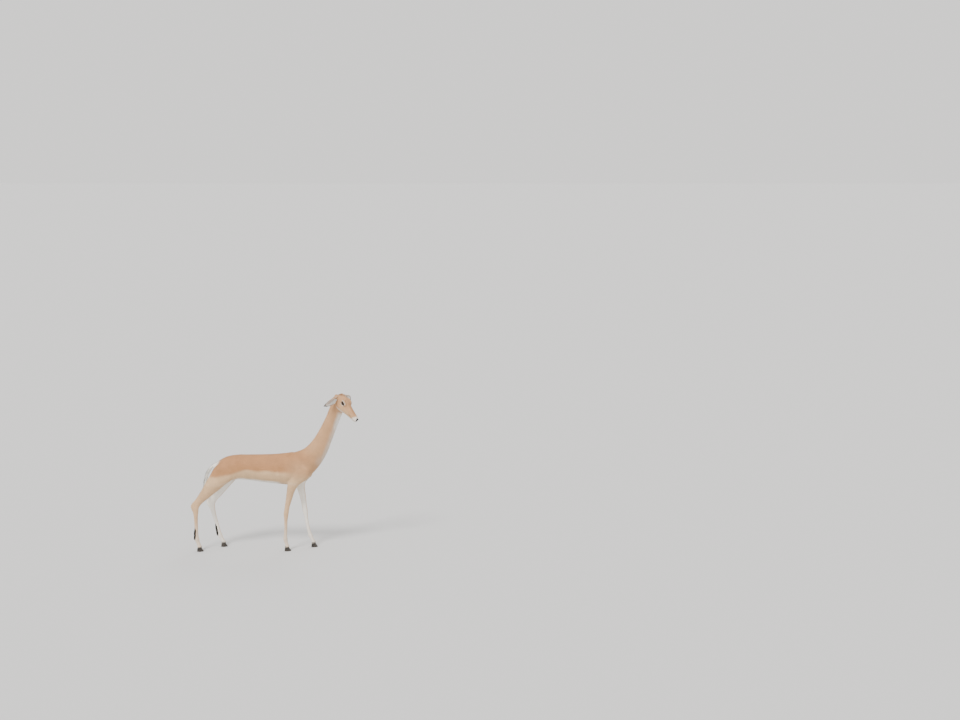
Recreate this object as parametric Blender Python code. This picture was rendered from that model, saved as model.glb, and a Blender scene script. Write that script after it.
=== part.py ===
"""A standing impala ewe at life size, as a still model.

All is in metres: +X is the way the animal faces, +Y its left side and +Z up, with the floor at
z = 0 under its hooves. It is drawn from a point between the hooves, and moved at the end to
stand over the middle of its own box. The flesh is lofted through named sections, fused and
smoothed as one skin, and then parted into the pieces of the body by cuts as thin as GAP.
"""

import math
import random
from collections import namedtuple

import bmesh
import bpy
import numpy as np
from mathutils import Matrix, Vector

# Every two neighbouring pieces keep this gap between their faces.
GAP = 0.0003

# The fineness of the fused skin: voxel edges, rounds of smoothing, and triangles kept.
BODY_VOXEL = 0.006
BODY_ROUNDS = 30
BODY_TRIANGLES = 5900
HEAD_VOXEL = 0.003
HEAD_ROUNDS = 8
HEAD_TRIANGLES = 2800

# Rings and segments of a loft before it is fused.
LOFT_RINGS = 60
LOFT_SEGMENTS = 36

# The trunk by upright sections: place along the body, top, bottom, half width.
Slice = namedtuple("Slice", "x top bottom side")
TRUNK = (
    Slice(-0.340, 0.742, 0.702, 0.020),
    Slice(-0.324, 0.766, 0.674, 0.046),
    Slice(-0.288, 0.797, 0.644, 0.073),
    Slice(-0.218, 0.831, 0.618, 0.092),
    Slice(-0.125, 0.845, 0.624, 0.098),
    Slice(-0.030, 0.846, 0.617, 0.104),
    Slice(0.080, 0.847, 0.601, 0.111),
    Slice(0.180, 0.850, 0.589, 0.114),
    Slice(0.270, 0.858, 0.581, 0.110),
    Slice(0.350, 0.866, 0.578, 0.099),
    Slice(0.420, 0.862, 0.592, 0.086),
    Slice(0.470, 0.835, 0.622, 0.069),
    Slice(0.507, 0.785, 0.655, 0.046),
    Slice(0.520, 0.745, 0.690, 0.018),
)

# The neck by slanted sections: nape and throat points, sideways place, half width and the
# share of the head's turn that each section has taken up.
Neck = namedtuple("Neck", "nape_x nape_z throat_x throat_z y side twist")
NECK = (
    Neck(0.300, 0.852, 0.470, 0.640, 0.000, 0.078, 0.00),
    Neck(0.380, 0.872, 0.540, 0.700, 0.000, 0.073, 0.00),
    Neck(0.450, 0.902, 0.600, 0.775, 0.000, 0.064, 0.00),
    Neck(0.512, 0.960, 0.648, 0.862, 0.000, 0.055, 0.06),
    Neck(0.563, 1.036, 0.686, 0.955, -0.002, 0.049, 0.16),
    Neck(0.606, 1.114, 0.720, 1.045, -0.005, 0.045, 0.32),
    Neck(0.645, 1.195, 0.757, 1.134, -0.008, 0.043, 0.52),
    Neck(0.680, 1.279, 0.793, 1.229, -0.011, 0.042, 0.74),
    Neck(0.708, 1.358, 0.810, 1.315, -0.012, 0.040, 0.90),
)

# The head is drawn in a frame of its own, x from the poll to the nose and z up off the face,
# then turned towards the animal's right, nosed down and set on the neck.
POLL = Vector((0.778, -0.030, 1.395))
HEAD_TURN = math.radians(35)
HEAD_DOWN = math.radians(42)
HEAD = (
    Slice(-0.012, -0.040, -0.082, 0.024),
    Slice(0.004, -0.014, -0.103, 0.040),
    Slice(0.030, 0.001, -0.119, 0.047),
    Slice(0.065, 0.007, -0.126, 0.049),
    Slice(0.096, 0.005, -0.125, 0.049),
    Slice(0.126, -0.003, -0.115, 0.043),
    Slice(0.157, -0.012, -0.103, 0.035),
    Slice(0.192, -0.018, -0.093, 0.0290),
    Slice(0.226, -0.023, -0.088, 0.0262),
    Slice(0.250, -0.027, -0.086, 0.0250),
    Slice(0.266, -0.032, -0.083, 0.0220),
    Slice(0.277, -0.040, -0.077, 0.0165),
    Slice(0.283, -0.050, -0.067, 0.0070),
)

# Swellings of the head, mirrored to both sides: centre and half sizes in the head's frame.
Swelling = namedtuple("Swelling", "centre size")
HEAD_SWELLINGS = (
    Swelling((0.092, 0.0335, -0.023), (0.040, 0.0160, 0.026)),
    Swelling((0.070, 0.0320, -0.078), (0.048, 0.0185, 0.034)),
    Swelling((0.261, 0.0118, -0.044), (0.017, 0.0098, 0.0100)),
    Swelling((0.236, 0.0120, -0.060), (0.034, 0.0145, 0.012)),
    Swelling((0.012, 0.0340, -0.040), (0.026, 0.0190, 0.022)),
)

EYE_CENTRE = Vector((0.094, 0.0365, -0.026))
EYE_RADIUS = 0.0172
LID_THICKNESS = 0.0024
EYE_OPENING = (0.0162, 0.0112)
EYE_TILT = math.radians(-14)
EYE_LOOK = Vector((0.34, 0.90, 0.16))

# The opening of the lids widens outwards: (distance from the eye's centre, growth).
LID_FLARE = ((0.004, 0.55), (0.030, 1.60))
LID_PINCH = 1.25

# The mouth's line runs back from the front of the muzzle to the corner of the lips.
MOUTH_FRONT = 0.290
MOUTH_CORNER = 0.196
MOUTH_REACH = 0.034
MOUTH_HEIGHT = -0.0645
MOUTH_RISE = 0.006
MOUTH_WIDTH = 0.0016
MOUTH_DEPTH = 0.0040
MOUTH_INNER = 0.268
MOUTH_ROUND = 1.9
MOUTH_BLUNT = 0.55
MOUTH_WIDEST = 0.62
MOUTH_SKULL = 0.9

NOSTRIL_CENTRE = Vector((0.274, 0.0122, -0.0475))
NOSTRIL_SIZE = (0.0085, 0.0030, 0.0056)
NOSTRIL_LEAN = math.radians(-35)
NOSTRIL_ROLL = math.radians(-32)

# An ear: where it leaves the head, the way it points and the way its cup opens.
EAR_ROOT = Vector((0.014, 0.043, -0.034))
EAR_AXIS = Vector((0.02, 0.100, -0.050))
EAR_OPENING = Vector((0.80, 0.10, 0.45))
EAR_LENGTH = 0.148
EAR_CUT = 0.018
EAR_RISE = 0.016
EAR_SPAN = 0.058
EAR_PLUG = (0.015, 0.0112, 0.0112)
EAR_PLUG_ALONG = -0.001
EAR_BACK = 0.010
EAR_RIM_THINNING = 0.45
EAR_THINNEST = 0.0006
Cup = namedtuple("Cup", "along half_width arc thickness")
EAR = (
    Cup(-0.10, 0.0105, 138, 0.0075),
    Cup(0.04, 0.0128, 130, 0.0058),
    Cup(0.16, 0.0188, 114, 0.0046),
    Cup(0.32, 0.0268, 92, 0.0038),
    Cup(0.50, 0.0300, 76, 0.0032),
    Cup(0.68, 0.0268, 62, 0.0028),
    Cup(0.84, 0.0185, 48, 0.0024),
    Cup(0.95, 0.0090, 38, 0.0020),
    Cup(1.00, 0.0030, 30, 0.0016),
)

# The legs by level sections: height, depth from front to back, half width.
Level = namedtuple("Level", "z depth side")
FORE_FORM = (
    Level(0.800, 0.085, 0.020),
    Level(0.740, 0.140, 0.030),
    Level(0.675, 0.160, 0.035),
    Level(0.620, 0.135, 0.035),
    Level(0.575, 0.092, 0.032),
    Level(0.520, 0.070, 0.0270),
    Level(0.450, 0.055, 0.0225),
    Level(0.395, 0.046, 0.0200),
    Level(0.360, 0.044, 0.0205),
    Level(0.335, 0.046, 0.0220),
    Level(0.300, 0.037, 0.0185),
    Level(0.260, 0.030, 0.0150),
    Level(0.180, 0.029, 0.0140),
    Level(0.130, 0.032, 0.0155),
    Level(0.106, 0.039, 0.0190),
    Level(0.082, 0.034, 0.0175),
    Level(0.058, 0.033, 0.0185),
    Level(0.036, 0.044, 0.0220),
    Level(0.018, 0.046, 0.0220),
)
HIND_FORM = (
    Level(0.790, 0.130, 0.028),
    Level(0.745, 0.222, 0.045),
    Level(0.700, 0.242, 0.050),
    Level(0.640, 0.216, 0.049),
    Level(0.585, 0.178, 0.045),
    Level(0.530, 0.142, 0.037),
    Level(0.475, 0.108, 0.029),
    Level(0.432, 0.092, 0.0235),
    Level(0.405, 0.084, 0.0220),
    Level(0.375, 0.064, 0.0225),
    Level(0.335, 0.044, 0.0195),
    Level(0.280, 0.034, 0.0155),
    Level(0.200, 0.032, 0.0145),
    Level(0.138, 0.035, 0.0160),
    Level(0.110, 0.042, 0.0195),
    Level(0.086, 0.037, 0.0175),
    Level(0.060, 0.035, 0.0185),
    Level(0.036, 0.045, 0.0220),
    Level(0.018, 0.047, 0.0220),
)

# How each leg stands: points of its middle line as (height, forward, sideways).
Stance = namedtuple("Stance", "z x y")
FORELEG_RIGHT = (
    Stance(0.800, 0.385, -0.050),
    Stance(0.675, 0.415, -0.068),
    Stance(0.575, 0.348, -0.067),
    Stance(0.450, 0.312, -0.062),
    Stance(0.335, 0.288, -0.060),
    Stance(0.200, 0.282, -0.060),
    Stance(0.106, 0.277, -0.061),
    Stance(0.058, 0.288, -0.062),
    Stance(0.018, 0.296, -0.063),
)
FORELEG_LEFT = (
    Stance(0.800, 0.385, 0.050),
    Stance(0.675, 0.425, 0.068),
    Stance(0.575, 0.398, 0.067),
    Stance(0.450, 0.420, 0.063),
    Stance(0.335, 0.436, 0.061),
    Stance(0.200, 0.456, 0.062),
    Stance(0.106, 0.478, 0.063),
    Stance(0.058, 0.502, 0.065),
    Stance(0.018, 0.515, 0.066),
)
HINDLEG_RIGHT = (
    Stance(0.790, -0.200, -0.040),
    Stance(0.700, -0.232, -0.056),
    Stance(0.585, -0.330, -0.070),
    Stance(0.475, -0.432, -0.074),
    Stance(0.405, -0.497, -0.075),
    Stance(0.335, -0.496, -0.075),
    Stance(0.200, -0.495, -0.075),
    Stance(0.110, -0.492, -0.076),
    Stance(0.060, -0.476, -0.077),
    Stance(0.018, -0.463, -0.078),
)
HINDLEG_LEFT = (
    Stance(0.790, -0.200, 0.040),
    Stance(0.700, -0.227, 0.056),
    Stance(0.585, -0.277, 0.068),
    Stance(0.475, -0.340, 0.071),
    Stance(0.405, -0.389, 0.072),
    Stance(0.335, -0.377, 0.073),
    Stance(0.200, -0.343, 0.075),
    Stance(0.110, -0.322, 0.076),
    Stance(0.060, -0.298, 0.078),
    Stance(0.018, -0.282, 0.079),
)
LEGS = {
    "foreleg_right": (FORE_FORM, FORELEG_RIGHT),
    "foreleg_left": (FORE_FORM, FORELEG_LEFT),
    "hindleg_right": (HIND_FORM, HINDLEG_RIGHT),
    "hindleg_left": (HIND_FORM, HINDLEG_LEFT),
}

# A hoof is two claws, with their sole on the floor and their top on the coronet's slant.
CLAW_LENGTH = 0.060
CLAW_WIDTH = 0.0215
CLAW_SPLIT = 0.0030
CLAW_TOP = 0.050
CLAW_LEVELS = (0.0, 0.0175, CLAW_TOP)
CLAW_FORWARD = 0.004
CLAW_SLOPE = 0.62
CLAW_HEEL_SLOPE = 0.10
CLAW_TAPER = 0.55
CLAW_BLUNT = 0.70
CLAW_HOLLOW = 0.002
CORONET_HEIGHT = 0.034
CORONET_SLANT = math.radians(17)

# Where the body is parted: a point on each cut and the slope of its plane.
NECK_CUT = (Vector((0.500, 0.0, 0.815)), math.radians(48))
NECK_CUT_SPAN = 0.40
HEAD_CUT = (Vector((0.716, -0.009, 1.203)), math.radians(67))
HEAD_CUT_SPAN = 0.146
HEAD_CUT_REACH = 0.50
FORELEG_CUT = 0.545
HINDLEG_CUT = (Vector((-0.240, 0.0, 0.670)), math.radians(25))
HINDLEG_CUT_SPAN = (0.60, 0.40)
HINDLEG_CUT_DROP = 0.30
SHANK_CUT = 0.352
LEG_CUT_SPAN = (0.14, 0.10)
CORONET_CUT_SPAN = (0.09, 0.08)
CORONET_CUT_REACH = 0.10

# About where the middles of the parted pieces lie; the legs' are heights on their middle line.
TORSO_MIDDLE = Vector((0.08, 0.0, 0.74))
NECK_MIDDLE = Vector((0.63, 0.0, 1.02))
FORELEG_MIDDLE = 0.30
HINDLEG_MIDDLE = 0.50
SHANK_MIDDLE = 0.19

# The tail hangs behind the buttocks: points of its middle line and its half widths, under the
# locks of long hair that fringe it.
Along = namedtuple("Along", "x z half_depth half_width")
TAIL = (
    Along(-0.290, 0.766, 0.0200, 0.0230),
    Along(-0.345, 0.748, 0.0150, 0.0185),
    Along(-0.390, 0.700, 0.0115, 0.0165),
    Along(-0.412, 0.638, 0.0100, 0.0150),
    Along(-0.424, 0.573, 0.0095, 0.0140),
    Along(-0.429, 0.528, 0.0075, 0.0105),
    Along(-0.431, 0.496, 0.0030, 0.0040),
)
TAIL_ROWS = 7
TAIL_ROWS_FROM = 0.36
TAIL_ROWS_TO = 0.94
TAIL_TURNS = ((-80, 0, 80), (-96, -34, 34, 96))
TAIL_TIP_AT = 0.90
TAIL_TIP_LEANS = (-8, 0, 8)

# A lock of long hair is a flat blade that tapers to a tip and turns in again. Its sections are
# given as (share of its length, share of its width).
Lock = namedtuple("Lock", "length width thickness")
LOCK_SECTIONS = ((0.0, 0.70), (0.34, 1.00), (0.72, 0.70))
TAIL_LOCKS = (
    Lock(0.056, 0.0140, 0.0052),
    Lock(0.066, 0.0155, 0.0056),
    Lock(0.076, 0.0165, 0.0058),
)
TIP_LOCKS = (
    Lock(0.052, 0.0110, 0.0050),
    Lock(0.060, 0.0100, 0.0050),
)
TUFT_LOCKS = (
    Lock(0.042, 0.0150, 0.0060),
    Lock(0.048, 0.0165, 0.0065),
)
LOCK_SPLAY = math.radians(22)
LOCK_BEND = 0.13
LOCK_SINK = 0.45
LOCK_SEED = 7
LOCK_STRAY = 8
LOCK_SPLAY_RANGE = (0.8, 1.2)

# The black tuft on the back of a hind shank: heights of its rows and their turns from the back.
TUFT_ROWS = (0.198, 0.176, 0.154)
TUFT_TURNS = (-58, 0, 58)
TUFT_SPLAY = math.radians(22)
TUFT_SINK = 0.78
TAIL_CUT = (Vector((-0.371, 0.0, 0.721)), math.radians(48))
TAIL_CUT_SPAN = (0.046, 0.060)
TAIL_CUT_SHIFT = -0.005

# Colours of the materials, with roughness.
FAWN = ((0.56, 0.33, 0.16, 1.0), 0.75)
PALE = ((0.80, 0.70, 0.56, 1.0), 0.75)
EAR_HAIR = ((0.66, 0.48, 0.33, 1.0), 0.80)
WHITE_HAIR = ((0.85, 0.80, 0.72, 1.0), 0.80)
HORN_BLACK = ((0.030, 0.026, 0.024, 1.0), 0.35)
EYE_BROWN = ((0.035, 0.018, 0.010, 1.0), 0.08)


def clear_scene():
    for thing in list(bpy.data.objects):
        bpy.data.objects.remove(thing)


def material(name, look):
    colour, roughness = look
    made = bpy.data.materials.new(name)
    made.use_nodes = True
    shader = made.node_tree.nodes["Principled BSDF"]
    shader.inputs["Base Color"].default_value = colour
    shader.inputs["Roughness"].default_value = roughness
    shader.inputs["Metallic"].default_value = 0.0
    return made


def new_object(name, vertices, faces):
    mesh = bpy.data.meshes.new(name)
    mesh.from_pydata([tuple(v) for v in vertices], [], faces)
    mesh.update()
    made = bpy.data.objects.new(name, mesh)
    bpy.context.scene.collection.objects.link(made)
    return made


def face_outwards(thing):
    form = bmesh.new()
    form.from_mesh(thing.data)
    bmesh.ops.recalc_face_normals(form, faces=form.faces)
    form.to_mesh(thing.data)
    form.free()
    return thing


def smooth_curve(rows, count):
    """A smooth run of `count` rows through the given ones, as a Catmull-Rom spline."""
    keys = np.array(rows, dtype=float)
    ends = np.vstack([2 * keys[0] - keys[1], keys, 2 * keys[-1] - keys[-2]])
    places = np.linspace(0, len(keys) - 1, count)
    out = []
    for place in places:
        i = min(int(place), len(keys) - 2)
        t = place - i
        a, b, c, d = ends[i:i + 4]
        out.append(0.5 * (2 * b + (c - a) * t + (2 * a - 5 * b + 4 * c - d) * t ** 2
                          + (3 * b - a - 3 * c + d) * t ** 3))
    return np.array(out)


def follow(rows, height):
    """The values of rows of (height, ...) at one height, on the smooth curve through them."""
    keys = smooth_curve(rows, 400)
    order = np.argsort(keys[:, 0])
    return [np.interp(height, keys[order, 0], keys[order, i]) for i in range(1, keys.shape[1])]


def ring(centre, up, across, high, low, side, segments=LOFT_SEGMENTS):
    """An egg-shaped ring round a centre, `high` and `low` from it along `up`."""
    points = []
    for i in range(segments):
        angle = 2 * math.pi * i / segments
        rise = math.cos(angle)
        reach = high if rise > 0 else low
        points.append(Vector(centre) + up * reach * rise + across * side * math.sin(angle))
    return points


def loft(name, rings):
    """A closed skin over rings of equal count, capped at both ends."""
    segments = len(rings[0])
    vertices = [point for points in rings for point in points]
    faces = []
    for r in range(len(rings) - 1):
        for s in range(segments):
            t = (s + 1) % segments
            faces.append((r * segments + s, r * segments + t,
                          (r + 1) * segments + t, (r + 1) * segments + s))
    faces.append(tuple(range(segments)))
    last = (len(rings) - 1) * segments
    faces.append(tuple(last + s for s in reversed(range(segments))))
    return face_outwards(new_object(name, vertices, faces))


def slice_loft(name, slices):
    """A loft through upright slices; each is widest a little below its middle."""
    belly = 0.54
    narrowest = 0.004
    rings = []
    for x, top, bottom, side in smooth_curve(slices, LOFT_RINGS):
        middle = top - (top - bottom) * belly
        rings.append(ring((x, 0, middle), Vector((0, 0, 1)), Vector((0, 1, 0)),
                          top - middle, middle - bottom, max(side, narrowest)))
    return loft(name, rings)


def neck_loft(name, sections):
    rings = []
    for row in smooth_curve(sections, LOFT_RINGS):
        nape_x, nape_z, throat_x, throat_z, y, side, twist = row
        nape = Vector((nape_x, y, nape_z))
        throat = Vector((throat_x, y, throat_z))
        half = (nape - throat).length / 2
        up = (nape - throat).normalized()
        across = Vector((0, 1, 0))
        turn = Matrix.Rotation(-HEAD_TURN * twist, 3, across.cross(up).normalized() * -1)
        rings.append(ring((nape + throat) / 2, turn @ up, turn @ across, half, half, side))
    return loft(name, rings)


def leg_loft(name, form, stance):
    rings = []
    for z, depth, side in smooth_curve(form, 2 * LOFT_RINGS):
        x, y = follow(stance, z)
        rings.append(ring((x, y, z), Vector((1, 0, 0)), Vector((0, 1, 0)),
                          depth / 2, depth / 2, side))
    return loft(name, rings)


def ellipsoid(name, centre, size, segments=24):
    form = bmesh.new()
    bmesh.ops.create_uvsphere(form, u_segments=segments, v_segments=segments // 2, radius=1.0)
    bmesh.ops.scale(form, vec=Vector(size), verts=form.verts)
    bmesh.ops.translate(form, vec=Vector(centre), verts=form.verts)
    mesh = bpy.data.meshes.new(name)
    form.to_mesh(mesh)
    form.free()
    made = bpy.data.objects.new(name, mesh)
    bpy.context.scene.collection.objects.link(made)
    return made


def box(name, size, place):
    """A closed box of the given size, put where the matrix says."""
    form = bmesh.new()
    bmesh.ops.create_cube(form, size=1.0)
    bmesh.ops.scale(form, vec=Vector(size), verts=form.verts)
    bmesh.ops.transform(form, matrix=place, verts=form.verts)
    mesh = bpy.data.meshes.new(name)
    form.to_mesh(mesh)
    form.free()
    made = bpy.data.objects.new(name, mesh)
    bpy.context.scene.collection.objects.link(made)
    return made


def moved(thing, place):
    thing.data.transform(place)
    if place.to_3x3().determinant() < 0:
        thing.data.flip_normals()
    return thing


def discard(thing):
    mesh = thing.data
    bpy.data.objects.remove(thing)
    bpy.data.meshes.remove(mesh)


def settle(thing):
    """Replace the object's mesh by the one that its modifiers make."""
    graph = bpy.context.evaluated_depsgraph_get()
    made = bpy.data.meshes.new_from_object(thing.evaluated_get(graph))
    old = thing.data
    thing.modifiers.clear()
    thing.data = made
    bpy.data.meshes.remove(old)
    return thing


def merged(name, things):
    """One object with the shells of all the given ones, which are used up."""
    form = bmesh.new()
    for thing in things:
        form.from_mesh(thing.data)
        discard(thing)
    mesh = bpy.data.meshes.new(name)
    form.to_mesh(mesh)
    form.free()
    made = bpy.data.objects.new(name, mesh)
    bpy.context.scene.collection.objects.link(made)
    return made


def combine(thing, others, operation, solver="EXACT"):
    """Join others to a thing or cut them from it, in one Boolean; the others are used up."""
    group = bpy.data.collections.new("operands")
    bpy.context.scene.collection.children.link(group)
    for other in others:
        for owner in list(other.users_collection):
            owner.objects.unlink(other)
        group.objects.link(other)
    step = thing.modifiers.new("combine", "BOOLEAN")
    step.operation = operation
    step.solver = solver
    step.operand_type = "COLLECTION"
    step.collection = group
    settle(thing)
    for other in others:
        discard(other)
    bpy.data.collections.remove(group)
    return thing


def relax(thing, rounds):
    """Smooth a mesh without shrinking it, by turns of pulling in and pushing out."""
    pull, push = 0.5, -0.52
    mesh = thing.data
    points = np.empty(len(mesh.vertices) * 3)
    mesh.vertices.foreach_get("co", points)
    points = points.reshape(-1, 3)
    edges = np.empty(len(mesh.edges) * 2, dtype=int)
    mesh.edges.foreach_get("vertices", edges)
    a, b = edges.reshape(-1, 2).T
    count = np.bincount(np.concatenate([a, b]), minlength=len(points))[:, None]
    for _ in range(rounds):
        for weight in (pull, push):
            total = np.empty_like(points)
            for axis in range(3):
                total[:, axis] = (np.bincount(a, points[b, axis], len(points))
                                  + np.bincount(b, points[a, axis], len(points)))
            points += weight * (total / count - points)
    mesh.vertices.foreach_set("co", points.ravel())
    mesh.update()
    return thing


def fused(name, shells, voxel, rounds, triangles):
    """One smooth skin over overlapping shells, thinned to about a number of triangles."""
    skin = merged(name, shells)
    step = skin.modifiers.new("fuse", "REMESH")
    step.mode = "VOXEL"
    step.voxel_size = voxel
    step.adaptivity = 0.0
    settle(skin)
    relax(skin, rounds)
    whole = sum(len(face.vertices) - 2 for face in skin.data.polygons)
    step = skin.modifiers.new("thin", "DECIMATE")
    step.decimate_type = "COLLAPSE"
    step.ratio = triangles / whole
    step.use_collapse_triangulate = True
    return settle(skin)


def islands(thing):
    """Split an object into its closed surfaces, largest first; the object is used up."""
    form = bmesh.new()
    form.from_mesh(thing.data)
    form.verts.ensure_lookup_table()
    seen = set()
    parts = []
    for start in form.verts:
        if start.index in seen:
            continue
        seen.add(start.index)
        stack = [start]
        found = []
        while stack:
            vertex = stack.pop()
            found.append(vertex)
            for edge in vertex.link_edges:
                other = edge.other_vert(vertex)
                if other.index not in seen:
                    seen.add(other.index)
                    stack.append(other)
        parts.append(found)
    parts.sort(key=len, reverse=True)
    made = []
    for found in parts:
        order = {vertex.index: i for i, vertex in enumerate(found)}
        faces = {face for vertex in found for face in vertex.link_faces}
        faces = sorted(faces, key=lambda face: face.index)
        rows = [tuple(order[v.index] for v in face.verts) for face in faces]
        made.append(new_object("island", [v.co.copy() for v in found], rows))
    form.free()
    discard(thing)
    return made


def middle(thing):
    points = [vertex.co for vertex in thing.data.vertices]
    low = Vector([min(p[i] for p in points) for i in range(3)])
    high = Vector([max(p[i] for p in points) for i in range(3)])
    return (low + high) / 2


def pick(pieces, seeds):
    """The piece nearest to each named seed; the others are removed."""
    named = {}
    for name, seed in seeds.items():
        best = min(pieces, key=lambda piece: (middle(piece) - seed).length)
        pieces.remove(best)
        named[name] = best
    for scrap in pieces:
        discard(scrap)
    return named


def keep_largest(thing):
    """The largest closed surface of an object, which is used up."""
    parts = islands(thing)
    for scrap in parts[1:]:
        discard(scrap)
    return parts[0]


def lock(root, run, outward, size, splay):
    """A flat lock of hair that leaves its root at a splay from the run and turns in again."""
    along = run * math.cos(splay) + outward * math.sin(splay)
    flat = outward * math.cos(splay) - run * math.sin(splay)
    across = along.cross(flat).normalized()
    vertices = []
    for share, width in LOCK_SECTIONS:
        spot = root + along * size.length * share - flat * LOCK_BEND * size.length * share ** 2
        wide = across * size.width * width / 2
        deep = flat * size.thickness * width / 2
        vertices += [spot + wide, spot + deep, spot - wide, spot - deep]
    vertices.append(root + along * size.length - flat * LOCK_BEND * size.length)
    tip = len(vertices) - 1
    faces = [(0, 1, 2), (0, 2, 3)]
    for low in range(0, tip - 4, 4):
        for s in range(4):
            a, b = low + s, low + (s + 1) % 4
            faces += [(a, b, b + 4), (a, b + 4, a + 4)]
    faces += [(tip - 4 + s, tip - 4 + (s + 1) % 4, tip) for s in range(4)]
    return face_outwards(new_object("lock", vertices, faces))


def finish(thing, name, made_of):
    """Name a node, give it its material and shade it smooth up to its sharp edges."""
    sharp = math.radians(40)
    thing.name = name
    thing.data.name = name
    thing.data.materials.clear()
    thing.data.materials.append(made_of)
    thing.data.shade_smooth()
    thing.data.set_sharp_from_angle(angle=sharp)
    return thing


def slope_matrix(point, slope):
    """A frame at a point whose z axis leans back from +Z by the slope, in the XZ plane."""
    return Matrix.Translation(point) @ Matrix.Rotation(math.pi / 2 - slope, 4, "Y")


def head_matrix():
    turn = Matrix.Rotation(-HEAD_TURN, 4, "Z")
    down = Matrix.Rotation(HEAD_DOWN, 4, "Y")
    return Matrix.Translation(POLL) @ turn @ down


def mirrored(place, side):
    """A point or direction of the animal's left, or its mirror image for the right."""
    return Vector((place[0], place[1] * side, place[2]))


def neck_slab(thickness, offset, cut, span):
    """A slab square to the neck at a cut, its middle moved up the neck by an offset."""
    place = slope_matrix(*cut) @ Matrix.Translation((0, 0, offset))
    return box("cut", (span, span, thickness), place)


def coronet_matrix(stance, lift):
    """The frame of a coronet's slant: z is square to it, lifted by a little."""
    x, y = follow(stance, CORONET_HEIGHT)
    slant = Matrix.Rotation(-CORONET_SLANT, 4, "Y")
    return Matrix.Translation((x, y, CORONET_HEIGHT)) @ slant @ Matrix.Translation((0, 0, lift))


def body_skin():
    """Trunk, neck and legs fused as one skin."""
    shells = [slice_loft("trunk", TRUNK), neck_loft("neck", NECK)]
    shells += [leg_loft(name, form, stance) for name, (form, stance) in LEGS.items()]
    shells.append(tail_loft("dock", TAIL[:4]))
    return fused("body", shells, BODY_VOXEL, BODY_ROUNDS, BODY_TRIANGLES)


def body_cuts():
    """The thin slabs that part the body, and the blocks that end it at head and hooves."""
    cuts = [neck_slab(GAP, 0, NECK_CUT, NECK_CUT_SPAN)]
    cuts.append(neck_slab(HEAD_CUT_REACH, (HEAD_CUT_REACH - GAP) / 2, HEAD_CUT, HEAD_CUT_REACH))
    tail_place = slope_matrix(*TAIL_CUT) @ Matrix.Translation((TAIL_CUT_SHIFT, 0, 0))
    cuts.append(box("cut", (*TAIL_CUT_SPAN, GAP), tail_place))
    point, slope = HINDLEG_CUT
    thigh = Matrix.Translation(point) @ Matrix.Rotation(slope, 4, "Y")
    cuts.append(box("cut", (*HINDLEG_CUT_SPAN, GAP), thigh))
    between = thigh @ Matrix.Translation((0, 0, -HINDLEG_CUT_DROP / 2))
    cuts.append(box("cut", (HINDLEG_CUT_SPAN[0], GAP, HINDLEG_CUT_DROP), between))
    for name, (_, stance) in LEGS.items():
        height = FORELEG_CUT if name.startswith("fore") else SHANK_CUT
        x, y = follow(stance, height)
        cuts.append(box("cut", (*LEG_CUT_SPAN, GAP), Matrix.Translation((x, y, height))))
        place = coronet_matrix(stance, (GAP - CORONET_CUT_REACH) / 2)
        cuts.append(box("cut", (*CORONET_CUT_SPAN, CORONET_CUT_REACH), place))
    return cuts


def part_body(skin):
    """Cut the skin into torso, neck and legs, and give each piece its name."""
    combine(skin, body_cuts(), "DIFFERENCE")
    seeds = {"torso": TORSO_MIDDLE, "neck": NECK_MIDDLE}
    for name, (_, stance) in LEGS.items():
        heights = {name: FORELEG_MIDDLE}
        if name.startswith("hind"):
            heights = {name: HINDLEG_MIDDLE, name.replace("leg", "shank"): SHANK_MIDDLE}
        for piece, height in heights.items():
            x, y = follow(stance, height)
            seeds[piece] = Vector((x, y, height))
    return pick(islands(skin), seeds)


def mouth_cutter():
    """A thin curved blade round the front of the muzzle, along the line of the lips."""
    steps = 12
    places = [row.x for row in HEAD]
    widths = [row.side * MOUTH_SKULL - MOUTH_DEPTH for row in HEAD]
    vertices = []
    for i in range(-steps, steps + 1):
        share = abs(i) / steps
        side = (i > 0) - (i < 0)
        x = MOUTH_FRONT - (MOUTH_FRONT - MOUTH_CORNER) * share ** MOUTH_ROUND
        y = MOUTH_REACH * min(1, share / MOUTH_WIDEST) ** MOUTH_BLUNT
        z = MOUTH_HEIGHT + MOUTH_RISE * share ** 2
        inner = min(y, max(np.interp(x, places, widths), 0.0))
        for spot_x, spot_y, thick in ((x, y, MOUTH_WIDTH),
                                      (min(x, MOUTH_INNER), inner, MOUTH_WIDTH / 2)):
            vertices.append((spot_x, spot_y * side, z + thick / 2))
            vertices.append((spot_x, spot_y * side, z - thick / 2))
    faces = []
    for a in range(0, 8 * steps, 4):
        b = a + 4
        faces += [(a, b, b + 1, a + 1), (a + 2, a + 3, b + 3, b + 2)]
        faces += [(a, a + 2, b + 2, b), (a + 1, b + 1, b + 3, a + 3)]
    last = 8 * steps
    faces += [(0, 1, 3, 2), (last, last + 2, last + 3, last + 1)]
    return face_outwards(new_object("mouth", vertices, faces))


def eye_matrix(side):
    """The frame of one eye: z looks out of the head, x along the slit of the lids."""
    out = mirrored(EYE_LOOK, side).normalized()
    along = Vector((math.cos(EYE_TILT), 0, math.sin(EYE_TILT)))
    along = (along - out * along.dot(out)).normalized()
    over = out.cross(along)
    turn = Matrix((along, over, out)).transposed().to_4x4()
    return Matrix.Translation(mirrored(EYE_CENTRE, side)) @ turn


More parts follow.
